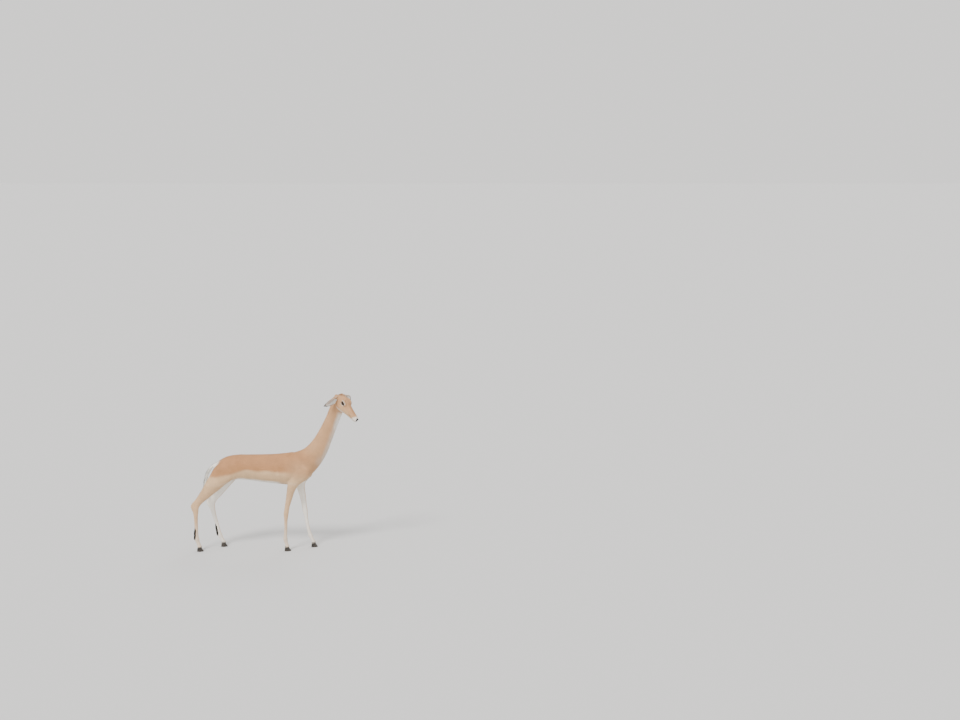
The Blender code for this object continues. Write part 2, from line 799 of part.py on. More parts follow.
def lid_opening(side):
    """A prism with an almond outline, through which the eye is seen."""
    count = 20
    half_long, half_high = EYE_OPENING
    rings = []
    for depth, grow in LID_FLARE:
        points = []
        for i in range(count):
            angle = 2 * math.pi * i / count
            pinch = abs(math.sin(angle)) ** LID_PINCH
            high = half_high * math.copysign(pinch, math.sin(angle))
            points.append(Vector((half_long * grow * math.cos(angle), high * grow, depth)))
        rings.append(points)
    return moved(loft("opening", rings), eye_matrix(side))


def ear_shells(side):
    """A cupped leaf with a closed, round root that sinks into the head."""
    across_count = 10
    along_count = 13
    rows = smooth_curve(EAR, along_count)
    outer = []
    inner = []
    for along, half_width, arc, thickness in rows:
        arc = math.radians(arc)
        radius = half_width / math.sin(min(arc, math.pi / 2))
        for i in range(across_count + 1):
            angle = arc * (2 * i / across_count - 1)
            rim = 1 - EAR_RIM_THINNING * abs(2 * i / across_count - 1)
            hollow = max(radius - thickness * rim, EAR_THINNEST)
            for skin, shell in ((outer, radius), (inner, hollow)):
                skin.append(Vector((along * EAR_LENGTH, shell * math.sin(angle),
                                    radius - shell * math.cos(angle))))
    width = across_count + 1
    vertices = outer + inner
    shift = len(outer)
    faces = []
    for r in range(along_count - 1):
        for s in range(across_count):
            a, b = r * width + s, r * width + s + 1
            c, d = a + width, b + width
            faces += [(a, b, d), (a, d, c)]
            faces += [(shift + a, shift + d, shift + b), (shift + a, shift + c, shift + d)]
        for s in (0, across_count):
            a = r * width + s
            faces.append((a, a + width, shift + a + width, shift + a))
    for r in (0, along_count - 1):
        for s in range(across_count):
            a = r * width + s
            faces.append((a, a + 1, shift + a + 1, shift + a))
    leaf = face_outwards(new_object("ear", vertices, faces))
    plug = ellipsoid("plug", (EAR_PLUG_ALONG, 0, rows[1][1]), EAR_PLUG, 12)
    place = ear_matrix(side)
    return moved(leaf, place), moved(plug, place)


def ear_matrix(side):
    """The frame of one ear in the head: x along it to the tip, z the way its cup opens."""
    axis = mirrored(EAR_AXIS, side).normalized()
    opening = mirrored(EAR_OPENING, side)
    opening = (opening - axis * opening.dot(axis)).normalized()
    across = opening.cross(axis)
    turn = Matrix((axis, across, opening)).transposed().to_4x4()
    root = mirrored(EAR_ROOT, side) - opening * EAR_BACK
    return Matrix.Translation(root) @ turn


def head_and_ears():
    """The head with its lids, mouth and nostrils, and the ears parted from it."""
    place = head_matrix()
    shells = [moved(slice_loft("skull", HEAD), place)]
    for centre, size in HEAD_SWELLINGS:
        for side in (-1, 1):
            shells.append(moved(ellipsoid("swelling", mirrored(centre, side), size), place))
    shells.append(neck_loft("nape", NECK[4:]))
    head = fused("head", shells, HEAD_VOXEL, HEAD_ROUNDS, HEAD_TRIANGLES)
    below = neck_slab(HEAD_CUT_REACH, (GAP - HEAD_CUT_REACH) / 2, HEAD_CUT, HEAD_CUT_SPAN)
    combine(head, [below], "DIFFERENCE")
    growth = []
    for side in (-1, 1):
        lid = EYE_RADIUS + LID_THICKNESS
        growth.append(moved(ellipsoid("lid", mirrored(EYE_CENTRE, side), (lid, lid, lid)), place))
    combine(head, growth, "UNION")
    cuts = [moved(mouth_cutter(), place)]
    for side in (-1, 1):
        socket = EYE_RADIUS + GAP
        hollow = ellipsoid("socket", mirrored(EYE_CENTRE, side), (socket,) * 3, 20)
        cuts.append(moved(hollow, place))
        cuts.append(moved(lid_opening(side), place))
        nostril = ellipsoid("nostril", (0, 0, 0), NOSTRIL_SIZE, 14)
        lean = (Matrix.Rotation(NOSTRIL_LEAN * side, 4, "Z")
                @ Matrix.Rotation(NOSTRIL_ROLL * side, 4, "X"))
        moved(nostril, Matrix.Translation(mirrored(NOSTRIL_CENTRE, side)) @ lean)
        cuts.append(moved(nostril, place))
    combine(head, cuts, "DIFFERENCE")
    for side in (-1, 1):
        shells = [moved(shell, place) for shell in ear_shells(side)]
        combine(head, shells, "UNION", solver="MANIFOLD")
    slabs = []
    for side in (-1, 1):
        spot = place @ ear_matrix(side) @ Matrix.Translation((EAR_CUT, 0, EAR_RISE))
        slabs.append(box("cut", (GAP, EAR_SPAN, EAR_SPAN), spot))
    combine(head, slabs, "DIFFERENCE", solver="MANIFOLD")
    pieces = islands(head)
    named = {"head": pieces.pop(0)}
    seeds = {}
    for side, name in ((-1, "ear_right"), (1, "ear_left")):
        seeds[name] = place @ ear_matrix(side) @ Vector((EAR_LENGTH / 2, 0, 0))
    named.update(pick(pieces, seeds))
    return named


def eyeball(side):
    ball = ellipsoid("eye", mirrored(EYE_CENTRE, side), (EYE_RADIUS,) * 3, 20)
    return moved(ball, head_matrix())


def claw(stance, side):
    """One of the two claws of a hoof, inner side flat, front sloped back."""
    count = 14
    x0, y0 = follow(stance, CORONET_HEIGHT)
    rings = []
    for height in CLAW_LEVELS:
        back = CLAW_HEEL_SLOPE * height - CLAW_LENGTH / 2
        toe = CLAW_LENGTH / 2 - CLAW_SLOPE * height
        points = []
        for i in range(count):
            angle = 2 * math.pi * i / count
            share = 0.5 + 0.5 * math.cos(angle)
            x = back + (toe - back) * share
            taper = 1 - CLAW_TAPER * share ** 3
            out = math.sin(angle)
            if out > 0:
                y = CLAW_SPLIT / 2 + CLAW_WIDTH * taper * out ** CLAW_BLUNT
            else:
                y = CLAW_SPLIT / 2 + CLAW_HOLLOW * (1 + out)
            points.append(Vector((x0 + CLAW_FORWARD + x, y0 + side * y, height)))
        rings.append(points)
    made = loft("claw", rings)
    deep = CORONET_CUT_REACH
    above = box("cut", (deep, deep, deep), coronet_matrix(stance, (deep - GAP) / 2))
    return combine(made, [above], "DIFFERENCE")


def tail_sections(along, count):
    """Evenly spaced sections of the tail: middle, run, the way back off it and half widths."""
    rows = smooth_curve(along, count)
    sections = []
    for i, (x, z, half_depth, half_width) in enumerate(rows):
        before = rows[max(i - 1, 0)]
        after = rows[min(i + 1, len(rows) - 1)]
        run = Vector((after[0] - before[0], 0, after[1] - before[1])).normalized()
        back = Vector((0, 1, 0)).cross(run)
        sections.append((Vector((x, 0, z)), run, back, half_depth, half_width))
    return sections


def tail_loft(name, along):
    across = Vector((0, 1, 0))
    rings = []
    for spot, _, back, half_depth, half_width in tail_sections(along, 14):
        rings.append(ring(spot, back, across, half_depth, half_depth, half_width, segments=12))
    return loft(name, rings)


def tail_locks():
    """Rows of locks down the sides and back of the tail, and a few from its tip."""
    across = Vector((0, 1, 0))
    chance = random.Random(LOCK_SEED)
    count = 100
    sections = tail_sections(TAIL, count)
    made = []
    for row in range(TAIL_ROWS):
        share = TAIL_ROWS_FROM + (TAIL_ROWS_TO - TAIL_ROWS_FROM) * row / (TAIL_ROWS - 1)
        spot, run, back, half_depth, half_width = sections[int(share * (count - 1))]
        for turn in TAIL_TURNS[row % 2]:
            angle = math.radians(turn + chance.uniform(-LOCK_STRAY, LOCK_STRAY))
            reach = back * half_depth * math.cos(angle) + across * half_width * math.sin(angle)
            size = TAIL_LOCKS[chance.randrange(len(TAIL_LOCKS))]
            made.append(lock(spot + reach * LOCK_SINK, run, reach.normalized(), size,
                             LOCK_SPLAY * chance.uniform(*LOCK_SPLAY_RANGE)))
    spot, run, back = sections[int(TAIL_TIP_AT * count)][:3]
    for i, lean in enumerate(TAIL_TIP_LEANS):
        sideways = across * math.sin(math.radians(lean))
        made.append(lock(spot, (run + sideways).normalized(), back, TIP_LOCKS[i % 2], 0.0))
    return made


def tail():
    """The tail from its cut to the tips of its hair."""
    deep = 0.2
    place = slope_matrix(*TAIL_CUT) @ Matrix.Translation((0, 0, deep / 2 - GAP / 2))
    core = tail_loft("tail", TAIL)
    combine(core, [box("cut", (deep, deep, deep), place)], "DIFFERENCE")
    return keep_largest(combine(core, tail_locks(), "UNION", solver="MANIFOLD"))


def tufted(shank, name):
    """A hind shank with the tuft of locks on its back."""
    form, stance = LEGS[name.replace("shank", "leg")]
    chance = random.Random(name)
    locks = []
    for height in TUFT_ROWS:
        x, y = follow(stance, height)
        depth, side = follow(form, height)
        step = 0.02
        below_x, below_y = follow(stance, height - step)
        run = Vector((below_x - x, below_y - y, -step)).normalized()
        for turn in TUFT_TURNS:
            angle = math.radians(turn + chance.uniform(-LOCK_STRAY, LOCK_STRAY))
            reach = Vector((-depth / 2 * math.cos(angle), side * math.sin(angle), 0))
            size = TUFT_LOCKS[chance.randrange(len(TUFT_LOCKS))]
            locks.append(lock(Vector((x, y, height)) + reach * TUFT_SINK, run,
                              (reach - run * reach.dot(run)).normalized(), size,
                              TUFT_SPLAY * chance.uniform(*LOCK_SPLAY_RANGE)))
    return keep_largest(combine(shank, locks, "UNION", solver="MANIFOLD"))


def stand_over_middle():
    """Move every piece so that the middle of the whole box's base is the origin."""
    things = list(bpy.context.scene.objects)
    points = [vertex.co for thing in things for vertex in thing.data.vertices]
    middles = [(min(p[i] for p in points) + max(p[i] for p in points)) / 2 for i in range(2)]
    shift = Matrix.Translation((-middles[0], -middles[1], 0))
    for thing in things:
        thing.data.transform(shift)


def build():
    clear_scene()
    fawn = material("fawn coat", FAWN)
    pale = material("pale coat", PALE)
    ear_hair = material("ear hair", EAR_HAIR)
    white_hair = material("white hair", WHITE_HAIR)
    black = material("black hoof", HORN_BLACK)
    brown = material("eye", EYE_BROWN)

    pieces = part_body(body_skin())
    for name in ("torso", "neck"):
        finish(pieces[name], name, fawn)
    for name in LEGS:
        finish(pieces[name], name, pale)
    for name in ("hindshank_right", "hindshank_left"):
        finish(tufted(pieces[name], name), name, pale)

    for name, piece in head_and_ears().items():
        finish(piece, name, fawn if name == "head" else ear_hair)
    for side, name in ((-1, "eye_right"), (1, "eye_left")):
        finish(eyeball(side), name, brown)
    finish(tail(), "tail", white_hair)
    for name, (_, stance) in LEGS.items():
        for side, place in ((-1, "a"), (1, "b")):
            finish(claw(stance, side), name.replace("leg", "hoof") + "_" + place, black)
    stand_over_middle()


build()
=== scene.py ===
"""Looks of the standing impala ewe: one skin, its coat, eyes, hooves, floor and light."""
import math
from collections import namedtuple
from contextlib import contextmanager

import bmesh
import bpy
import numpy as np
from mathutils import Matrix, Vector


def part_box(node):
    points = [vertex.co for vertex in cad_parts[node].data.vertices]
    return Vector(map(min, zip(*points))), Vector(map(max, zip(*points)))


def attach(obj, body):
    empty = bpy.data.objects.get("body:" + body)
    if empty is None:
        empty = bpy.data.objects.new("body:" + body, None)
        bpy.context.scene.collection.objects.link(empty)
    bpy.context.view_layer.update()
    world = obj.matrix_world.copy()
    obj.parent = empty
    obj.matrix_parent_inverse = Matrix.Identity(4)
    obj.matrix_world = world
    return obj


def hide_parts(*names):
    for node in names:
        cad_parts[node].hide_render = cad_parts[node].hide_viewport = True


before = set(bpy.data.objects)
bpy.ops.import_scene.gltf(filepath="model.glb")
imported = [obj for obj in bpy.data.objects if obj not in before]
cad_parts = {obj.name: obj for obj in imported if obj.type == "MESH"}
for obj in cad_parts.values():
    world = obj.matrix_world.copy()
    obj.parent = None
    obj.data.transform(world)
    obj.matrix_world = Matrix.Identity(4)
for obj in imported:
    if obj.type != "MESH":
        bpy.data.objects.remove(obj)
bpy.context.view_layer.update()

SEED = 20
SIDES = ((-1, "right"), (1, "left"))

# The head's own frame: x from the poll to the nose, z up off the face. The poll's place is that
# in the drawing, whose origin lies between the hooves.
POLL = Vector((0.778, -0.030, 1.395))
HEAD_TURN = math.radians(35)
HEAD_DOWN = math.radians(42)
EYE_CENTRE = Vector((0.094, 0.0365, -0.026))
EYE_RADIUS = 0.0172
EYE_LOOKS = Vector((0.34, 0.90, 0.16))
EYE_TILT = math.radians(-14)
EYE_OPENING = (0.0160, 0.0104)
LID_THICKNESS = 0.0016
CORNEA_REACH = 0.012
CORNEA_RISE = 0.0009
EAR_ROOT = Vector((0.014, 0.043, -0.034))
EAR_AXIS = Vector((0.02, 0.100, -0.050))
EAR_OPENING = Vector((0.80, 0.10, 0.45))
EAR_LENGTH = 0.148
EAR_SETBACK = 0.010
EAR_THINNING = 0.75
EAR_ACROSS, EAR_ALONG = 36, 56
NOSTRIL_CENTRE = Vector((0.2755, 0.0125, -0.0475))
NOSTRIL_SIZE = (0.0090, 0.0031, 0.0058)
NOSTRIL_LEAN = math.radians(-35)
NOSTRIL_ROLL = math.radians(-32)
MOUTH_FRONT = 0.290
MOUTH_CORNER = 0.196
MOUTH_HEIGHT = -0.0645
MOUTH_RISE = 0.006
MOUTH_REACH = 0.034
MOUTH_INNER = 0.268
MOUTH_GAP = 0.0011
MOUTH_STEPS = 30

# How far the mouth's line is cut in: places along the head, and half widths left standing.
MOUTH_CORE = ((0.192, 0.226, 0.250, 0.266, 0.277, 0.283),
              (0.0221, 0.0196, 0.0185, 0.0158, 0.0109, 0.0023))

# Depth of the coat over the skin, and how much of it is left on the bare nose.
COAT_BODY = 0.0030
COAT_LEG = 0.0012
COAT_HEAD = 0.0009
COAT_BARE = 0.3

# The neck's end, and its middle line under the head as (height, forward, sideways). The skins of
# head and body overlap below the end, the head's tucked in by a little.
NECK_CUT_POINT = np.array([0.716, -0.009, 1.203])
NECK_CUT_SLOPE = math.radians(67)
NECK_UP = np.array([math.cos(NECK_CUT_SLOPE), 0, math.sin(NECK_CUT_SLOPE)])
NECK_MIDDLE = np.array(((1.079, 0.663, -0.005), (1.164, 0.701, -0.008), (1.254, 0.737, -0.011),
                        (1.336, 0.759, -0.012), (1.400, 0.775, -0.020)))
NECK_BASE = 1.05
NECK_OVERLAP = 0.075
NECK_TUCK = 0.0030
NECK_RIM = 0.0022

# Grain of the skins, how many of their triangles are kept and how often they are smoothed.
BODY_VOXEL = 0.0042
BODY_KEPT = 0.44
BODY_ROUNDS = 26
HEAD_VOXEL = 0.0015
HEAD_KEPT = 0.46
HEAD_ROUNDS = 14
CLAW_VOXEL = 0.0016
CLAW_ROUNDS = 8
BALL_SEGMENTS = 32
JOIN_SWELL = 0.00025

# The crease between neck and brisket, smoothed over.
BRISKET_CREASE = np.array([0.548, 0.0, 0.772])
BRISKET_REACH = np.array([0.040, 0.070, 0.050])
BRISKET_ROUNDS = 60

# A tuft: its two rings as share of its length, share sunk, depth and share of its width; its
# faces, of which the first ones look down; its bend and twist; how far the shading of its sides
# leans away from the skin's; the shade painted into its colour, darker at the root than at the
# tip and a little lighter on top; and how far one tuft varies from the next.
TUFT_RINGS = ((0.0, 0.10, 0.0004, 0.62), (0.45, 0.0, 0.0, 1.0))
TUFT_FACES = np.array([(0, 4, 1), (0, 3, 4), (3, 6, 4), (0, 1, 2), (1, 5, 2), (1, 4, 5), (2, 3, 0),
                       (2, 5, 3), (4, 6, 5), (5, 6, 3)], dtype=np.int32)
TUFT_UNDERSIDES = 3
TUFT_SIDES = (-1, 1, 0, -1, 1, 0, 0)
TUFT_THICK = 0.35
TUFT_BELOW, TUFT_ABOVE = 0.6, 1.4
TUFT_CURL = 0.12
TUFT_TWIST = 0.35
TUFT_ROUNDING = 0.25
TUFT_STRAY = 0.10
TUFT_SHADE = np.array([0.92, 0.92, 0.93, 1.0, 1.0, 1.01, 1.04])
SIZE_RANGE, LIFT_RANGE, TONE_RANGE = (0.75, 1.25), (0.6, 1.4), (0.94, 1.06)
TUFTS_IN_PIECE = 19500
UV_PATCH = 0.003
UV_SPREAD = np.array([(-0.4, 0.0), (0.4, 0.0), (0.0, 0.1), (-0.5, 0.5), (0.5, 0.5), (0.0, 0.55),
                      (0.0, 1.0)])

# Tufts to the square metre, lengths and widths of hair, and its lift in radians.
HEAD_DENSITY, EAR_DENSITY, CUP_DENSITY = 230000, 260000, 90000
TAIL_DENSITY, SHANK_DENSITY, LASH_DENSITY = 130000, 420000, 2000000
SHANK_HAIR = (0.034, 0.0022)
CUP_HAIR = (0.016, 0.0011)
LASH_HAIR = (0.0100, 0.0006)
TAIL_WIDTH = 0.0022
EAR_WIDTH = 0.0010
LONG_LIFT, LASH_LIFT, CUP_LIFT, EAR_LIFT, HEAD_LIFT = 0.24, 0.85, 0.20, 0.16, 0.14

FUR_GRAIN = 420.0
FUR_BUMP = 0.55
PUPIL = (0.0068, 0.0036)
IRIS = (0.0132, 0.0132)

CAMERA_DISTANCE = 11.5
CAMERA_TARGET = (1.974, 0.03, 1.67)
CAMERA_ELEVATION = math.radians(8)


def srgb(*levels):
    """A colour of 0 to 255 levels as linear light."""
    return np.array([(v / 255) ** 2.2 for v in levels])


SADDLE = srgb(190, 138, 94)
FLANK = srgb(222, 186, 144)
NECK_FAWN = srgb(205, 160, 118)
LEG_FAWN = srgb(214, 176, 136)
WHITE = srgb(248, 244, 235)
CROWN = srgb(128, 88, 58)
BLACK = srgb(26, 21, 19)
FACE = srgb(200, 154, 112)
NOSE = srgb(30, 26, 25)
LID = srgb(36, 27, 23)
EAR_PINK = srgb(206, 168, 146)


def linked(name, mesh):
    """A new object of a mesh, in the scene."""
    made = bpy.data.objects.new(name, mesh)
    bpy.context.scene.collection.objects.link(made)
    return made


def object_of(name, form):
    """A new object of a bmesh, which is used up."""
    mesh = bpy.data.meshes.new(name)
    form.to_mesh(mesh)
    form.free()
    return linked(name, mesh)


@contextmanager
def editing(mesh):
    """A mesh as a bmesh, written back at the end."""
    form = bmesh.new()
    form.from_mesh(mesh)
    yield form
    form.to_mesh(mesh)
    form.free()


def outward(name, points, faces):
    """A new object from points and faces, its faces turned outward."""
    mesh = bpy.data.meshes.new(name)
    mesh.from_pydata(np.asarray(points).tolist(), [], [tuple(map(int, f)) for f in faces])
    mesh.update()
    with editing(mesh) as form:
        bmesh.ops.recalc_face_normals(form, faces=form.faces)
    return linked(name, mesh)


def discard(thing):
    mesh = thing.data
    bpy.data.objects.remove(thing)
    bpy.data.meshes.remove(mesh)


def modified(thing, kind, **settings):
    """An object with one modifier applied to its mesh."""
    step = thing.modifiers.new("step", kind)
    for key, value in settings.items():
        setattr(step, key, value)
    graph = bpy.context.evaluated_depsgraph_get()
    made = bpy.data.meshes.new_from_object(thing.evaluated_get(graph))
    old = thing.data
    thing.modifiers.clear()
    thing.data = made
    bpy.data.meshes.remove(old)
    return thing


def remeshed(thing, voxel):
    return modified(thing, "REMESH", mode="VOXEL", voxel_size=voxel, adaptivity=0.0)


def thinned(thing, kept):
    return modified(thing, "DECIMATE", decimate_type="COLLAPSE", ratio=kept,
                    use_collapse_triangulate=True)


def cut_away(thing, others):
    """An object less what others fill."""
    group = bpy.data.collections.new("operands")
    bpy.context.scene.collection.children.link(group)
    for other in others:
        for owner in list(other.users_collection):
            owner.objects.unlink(other)
        group.objects.link(other)
    modified(thing, "BOOLEAN", operation="DIFFERENCE", solver="MANIFOLD",
             operand_type="COLLECTION", collection=group)
    for other in others:
        discard(other)
    bpy.data.collections.remove(group)
    return thing


def rows_of(items, key, width, kind=float):
    """A value of every item, as an array with rows of a given width."""
    values = np.empty(len(items) * width, dtype=kind)
    items.foreach_get(key, values)
    return values.reshape(-1, width)


def vertices_of(mesh):
    return rows_of(mesh.vertices, "co", 3)


def set_vertices(mesh, points):
    mesh.vertices.foreach_set("co", np.ascontiguousarray(points, dtype=np.float32).ravel())
    mesh.update()


def normals_of(mesh):
    return rows_of(mesh.vertices, "normal", 3)


def merged(name, things):
    form = bmesh.new()
    for thing in things:
        form.from_mesh(thing.data)
        discard(thing)
    return object_of(name, form)


def node_copy(name, grow=JOIN_SWELL):
    """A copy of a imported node, swelled a hair so that it meets its neighbours."""
    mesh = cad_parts[name].data.copy()
    made = linked(name + "_copy", mesh)
    with editing(mesh) as form:
        bmesh.ops.remove_doubles(form, verts=form.verts, dist=1e-6)
    set_vertices(mesh, vertices_of(mesh) + grow * normals_of(mesh))
    return made


def keep_side(thing, point, normal):
    """Keep what lies on the normal's side of a plane, closed there by a cap."""
    with editing(thing.data) as form:
        cut = bmesh.ops.bisect_plane(form, geom=form.verts[:] + form.edges[:] + form.faces[:],
                                     plane_co=point, plane_no=normal, clear_inner=True)
        rim = [e for e in cut["geom_cut"] if isinstance(e, bmesh.types.BMEdge)]
        bmesh.ops.holes_fill(form, edges=rim, sides=0)
    return thing


def triangulated(thing):
    with editing(thing.data) as form:
        bmesh.ops.triangulate(form, faces=form.faces)
    return thing


def relax(thing, rounds, pull=0.5, push=-0.52, share=1.0):
    """Smooth a mesh; the push keeps its volume, and the share says how much each point gives."""
    mesh = thing.data
    points = vertices_of(mesh)
    a, b = rows_of(mesh.edges, "vertices", 2, np.int64).T
    count = np.bincount(np.concatenate([a, b]), minlength=len(points))[:, None]
    for _ in range(rounds):
        for weight in (pull, push):
            total = np.empty_like(points)
            for axis in range(3):
                total[:, axis] = (np.bincount(a, points[b, axis], len(points))
                                  + np.bincount(b, points[a, axis], len(points)))
            points += share * weight * (total / count - points)
    set_vertices(mesh, points)
    return thing


def ball(centre, size, place):
    """An ellipsoid in the frame of a place."""
    form = bmesh.new()
    bmesh.ops.create_uvsphere(form, u_segments=BALL_SEGMENTS, v_segments=BALL_SEGMENTS // 2,
                              radius=1.0)
    bmesh.ops.scale(form, vec=Vector(size), verts=form.verts)
    bmesh.ops.translate(form, vec=Vector(centre), verts=form.verts)
    bmesh.ops.transform(form, matrix=place, verts=form.verts)
    return object_of("ball", form)


def smooth_curve(rows, count):
    """Points along a curve through the rows."""
    keys = np.array(rows, dtype=float)
    ends = np.vstack([2 * keys[0] - keys[1], keys, 2 * keys[-1] - keys[-2]])
    out = []
    for place in np.linspace(0, len(keys) - 1, count):
        i = min(int(place), len(keys) - 2)
        t = place - i
        a, b, c, d = ends[i:i + 4]
        out.append(0.5 * (2 * b + (c - a) * t + (2 * a - 5 * b + 4 * c - d) * t ** 2
                          + (3 * b - a - 3 * c + d) * t ** 3))
    return np.array(out)


def loft(name, rings):
    """A closed skin over rings of equal count, given as an array (rings, segments, 3)."""
    rings = np.asarray(rings)
    count, segments, _ = rings.shape
    faces = []
    for r in range(count - 1):
        for s in range(segments):
            t = (s + 1) % segments
            faces.append((r * segments + s, r * segments + t,
                          (r + 1) * segments + t, (r + 1) * segments + s))
    last = (count - 1) * segments
    faces.append(tuple(range(segments)))
    faces.append(tuple(last + s for s in reversed(range(segments))))
    return outward(name, rings.reshape(-1, 3), faces)


def head_matrix():
    """The head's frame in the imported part, read from the places of the two eyes."""
    spots = [sum(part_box(name), Vector()) / 2 for name in ("eye_right", "eye_left")]
    turn = Matrix.Rotation(-HEAD_TURN, 4, "Z") @ Matrix.Rotation(HEAD_DOWN, 4, "Y")
    between = (spots[0] + spots[1]) / 2
    poll = between - turn @ Vector((EYE_CENTRE.x, 0, EYE_CENTRE.z))
    return Matrix.Translation(poll) @ turn


HEAD = head_matrix()
SHIFT = np.array(HEAD.translation - POLL)


def mirrored(place, side):
    return Vector((place[0], place[1] * side, place[2]))


def turned(x, y, z):
    """A turn onto the given axes."""
    return Matrix((x, y, z)).transposed().to_4x4()


def eye_matrix(side):
    """The eye's frame: z the way it looks, x along its opening."""
    out = mirrored(EYE_LOOKS, side).normalized()
    along = Vector((math.cos(EYE_TILT), 0, math.sin(EYE_TILT)))
    along = (along - out * along.dot(out)).normalized()
    place = HEAD @ Matrix.Translation(mirrored(EYE_CENTRE, side))
    return place @ turned(along, out.cross(along), out)


def level_eye_matrix(side):
    """The eye's frame turned about its own axis until x lies level."""
    place = eye_matrix(side)
    out = place.to_3x3() @ Vector((0, 0, 1))
    level = Vector((0, 0, 1)).cross(out).normalized()
    return Matrix.Translation(place.translation) @ turned(level, out.cross(level), out)


def ear_matrix(side):
    """The ear's frame: x to the tip, z out of the cup."""
    axis = mirrored(EAR_AXIS, side).normalized()
    opening = mirrored(EAR_OPENING, side)
    opening = (opening - axis * opening.dot(axis)).normalized()
    root = mirrored(EAR_ROOT, side) - opening * EAR_SETBACK
    return HEAD @ Matrix.Translation(root) @ turned(axis, opening.cross(axis), opening)


def seen_from(place, points):
    """Points in the frame of a place."""
    inverse = np.array(place.inverted())
    return points @ inverse[:3, :3].T + inverse[:3, 3]


# The middle lines of the legs as (height, forward, sideways) in the drawing's own place, and the
# hind shank's form as (height, depth, half width).
LEG_LINES = {
    "foreleg_right": ((0.800, 0.385, -0.050), (0.675, 0.415, -0.068), (0.575, 0.348, -0.067),
                      (0.450, 0.312, -0.062), (0.335, 0.288, -0.060), (0.200, 0.282, -0.060),
                      (0.106, 0.277, -0.061), (0.058, 0.288, -0.062), (0.018, 0.296, -0.063)),
    "foreleg_left": ((0.800, 0.385, 0.050), (0.675, 0.425, 0.068), (0.575, 0.398, 0.067),
                     (0.450, 0.420, 0.063), (0.335, 0.436, 0.061), (0.200, 0.456, 0.062),
                     (0.106, 0.478, 0.063), (0.058, 0.502, 0.065), (0.018, 0.515, 0.066)),
    "hindleg_right": ((0.790, -0.200, -0.040), (0.700, -0.232, -0.056), (0.585, -0.330, -0.070),
                      (0.475, -0.432, -0.074), (0.405, -0.497, -0.075), (0.335, -0.496, -0.075),
                      (0.200, -0.495, -0.075), (0.110, -0.492, -0.076), (0.060, -0.476, -0.077),
                      (0.018, -0.463, -0.078)),
    "hindleg_left": ((0.790, -0.200, 0.040), (0.700, -0.227, 0.056), (0.585, -0.277, 0.068),
                     (0.475, -0.340, 0.071), (0.405, -0.389, 0.072), (0.335, -0.377, 0.073),
                     (0.200, -0.343, 0.075), (0.110, -0.322, 0.076), (0.060, -0.298, 0.078),
                     (0.018, -0.282, 0.079)),
}
HIND_LEGS = ("hindleg_right", "hindleg_left")
SHANK_FORM = ((0.405, 0.084, 0.0220), (0.375, 0.064, 0.0225), (0.335, 0.044, 0.0195),
              (0.280, 0.034, 0.0155), (0.200, 0.032, 0.0145), (0.138, 0.035, 0.0160),
              (0.110, 0.042, 0.0195), (0.086, 0.037, 0.0175), (0.060, 0.035, 0.0185),
              (0.036, 0.045, 0.0220), (0.018, 0.047, 0.0220))
SHANK_ENDS = (0.0345, 0.365)

# The tail under its hair as (forward, height, half depth, half width).
TAIL_FORM = ((-0.290, 0.766, 0.0190, 0.0220), (-0.345, 0.748, 0.0140, 0.0170),
             (-0.390, 0.700, 0.0095, 0.0135), (-0.412, 0.638, 0.0080, 0.0110),
             (-0.424, 0.573, 0.0070, 0.0095), (-0.429, 0.528, 0.0050, 0.0070),
             (-0.431, 0.496, 0.0020, 0.0025))


def leg_path(rows):
    """The points of a leg's middle line, from the lowest up."""
    path = smooth_curve(rows, 300)
    return path[np.argsort(path[:, 0])]


LEG_PATHS = {name: leg_path(rows) for name, rows in LEG_LINES.items()}


def leg_middle(name, z):
    path = LEG_PATHS[name]
    return (np.interp(z, path[:, 0], path[:, 1]) + SHIFT[0],
            np.interp(z, path[:, 0], path[:, 2]) + SHIFT[1])


def ring(middle, first, second, count):
    """Points round an ellipse with two given half axes."""
    turn = np.linspace(0, 2 * math.pi, count, endpoint=False)
    return middle + np.outer(np.cos(turn), first) + np.outer(np.sin(turn), second)


def shank(name):
    """The bare hind shank, without its tuft."""
    rings = []
    for z, depth, side in smooth_curve(SHANK_FORM, 60):
        x, y = leg_middle(name, z)
        rings.append(ring((x, y, z), (depth / 2, 0, 0), (0, side, 0), 32))
    whole = keep_side(loft("shank", rings), (0, 0, SHANK_ENDS[0]), (0, 0, 1))
    return keep_side(whole, (0, 0, SHANK_ENDS[1]), (0, 0, -1))


def tail_core():
    """The tail under its hair."""
    rows = smooth_curve(TAIL_FORM, 40)
    rings = []
    for i, (x, z, half_depth, half_width) in enumerate(rows):
        before, after = rows[max(i - 1, 0)], rows[min(i + 1, len(rows) - 1)]
        run = np.array([after[0] - before[0], 0, after[1] - before[1]])
        back = np.cross([0, 1, 0], run / np.linalg.norm(run))
        middle = np.array([x, 0, z]) + SHIFT
        rings.append(ring(middle, back * half_depth, (0, half_width, 0), 24))
    return loft("tail_core", rings)


def fade(low, high, value):
    """0 up to low and 1 from high on, eased between; low may be the greater."""
    share = np.clip((value - low) / (high - low), 0, 1)
    return share * share * (3 - 2 * share)


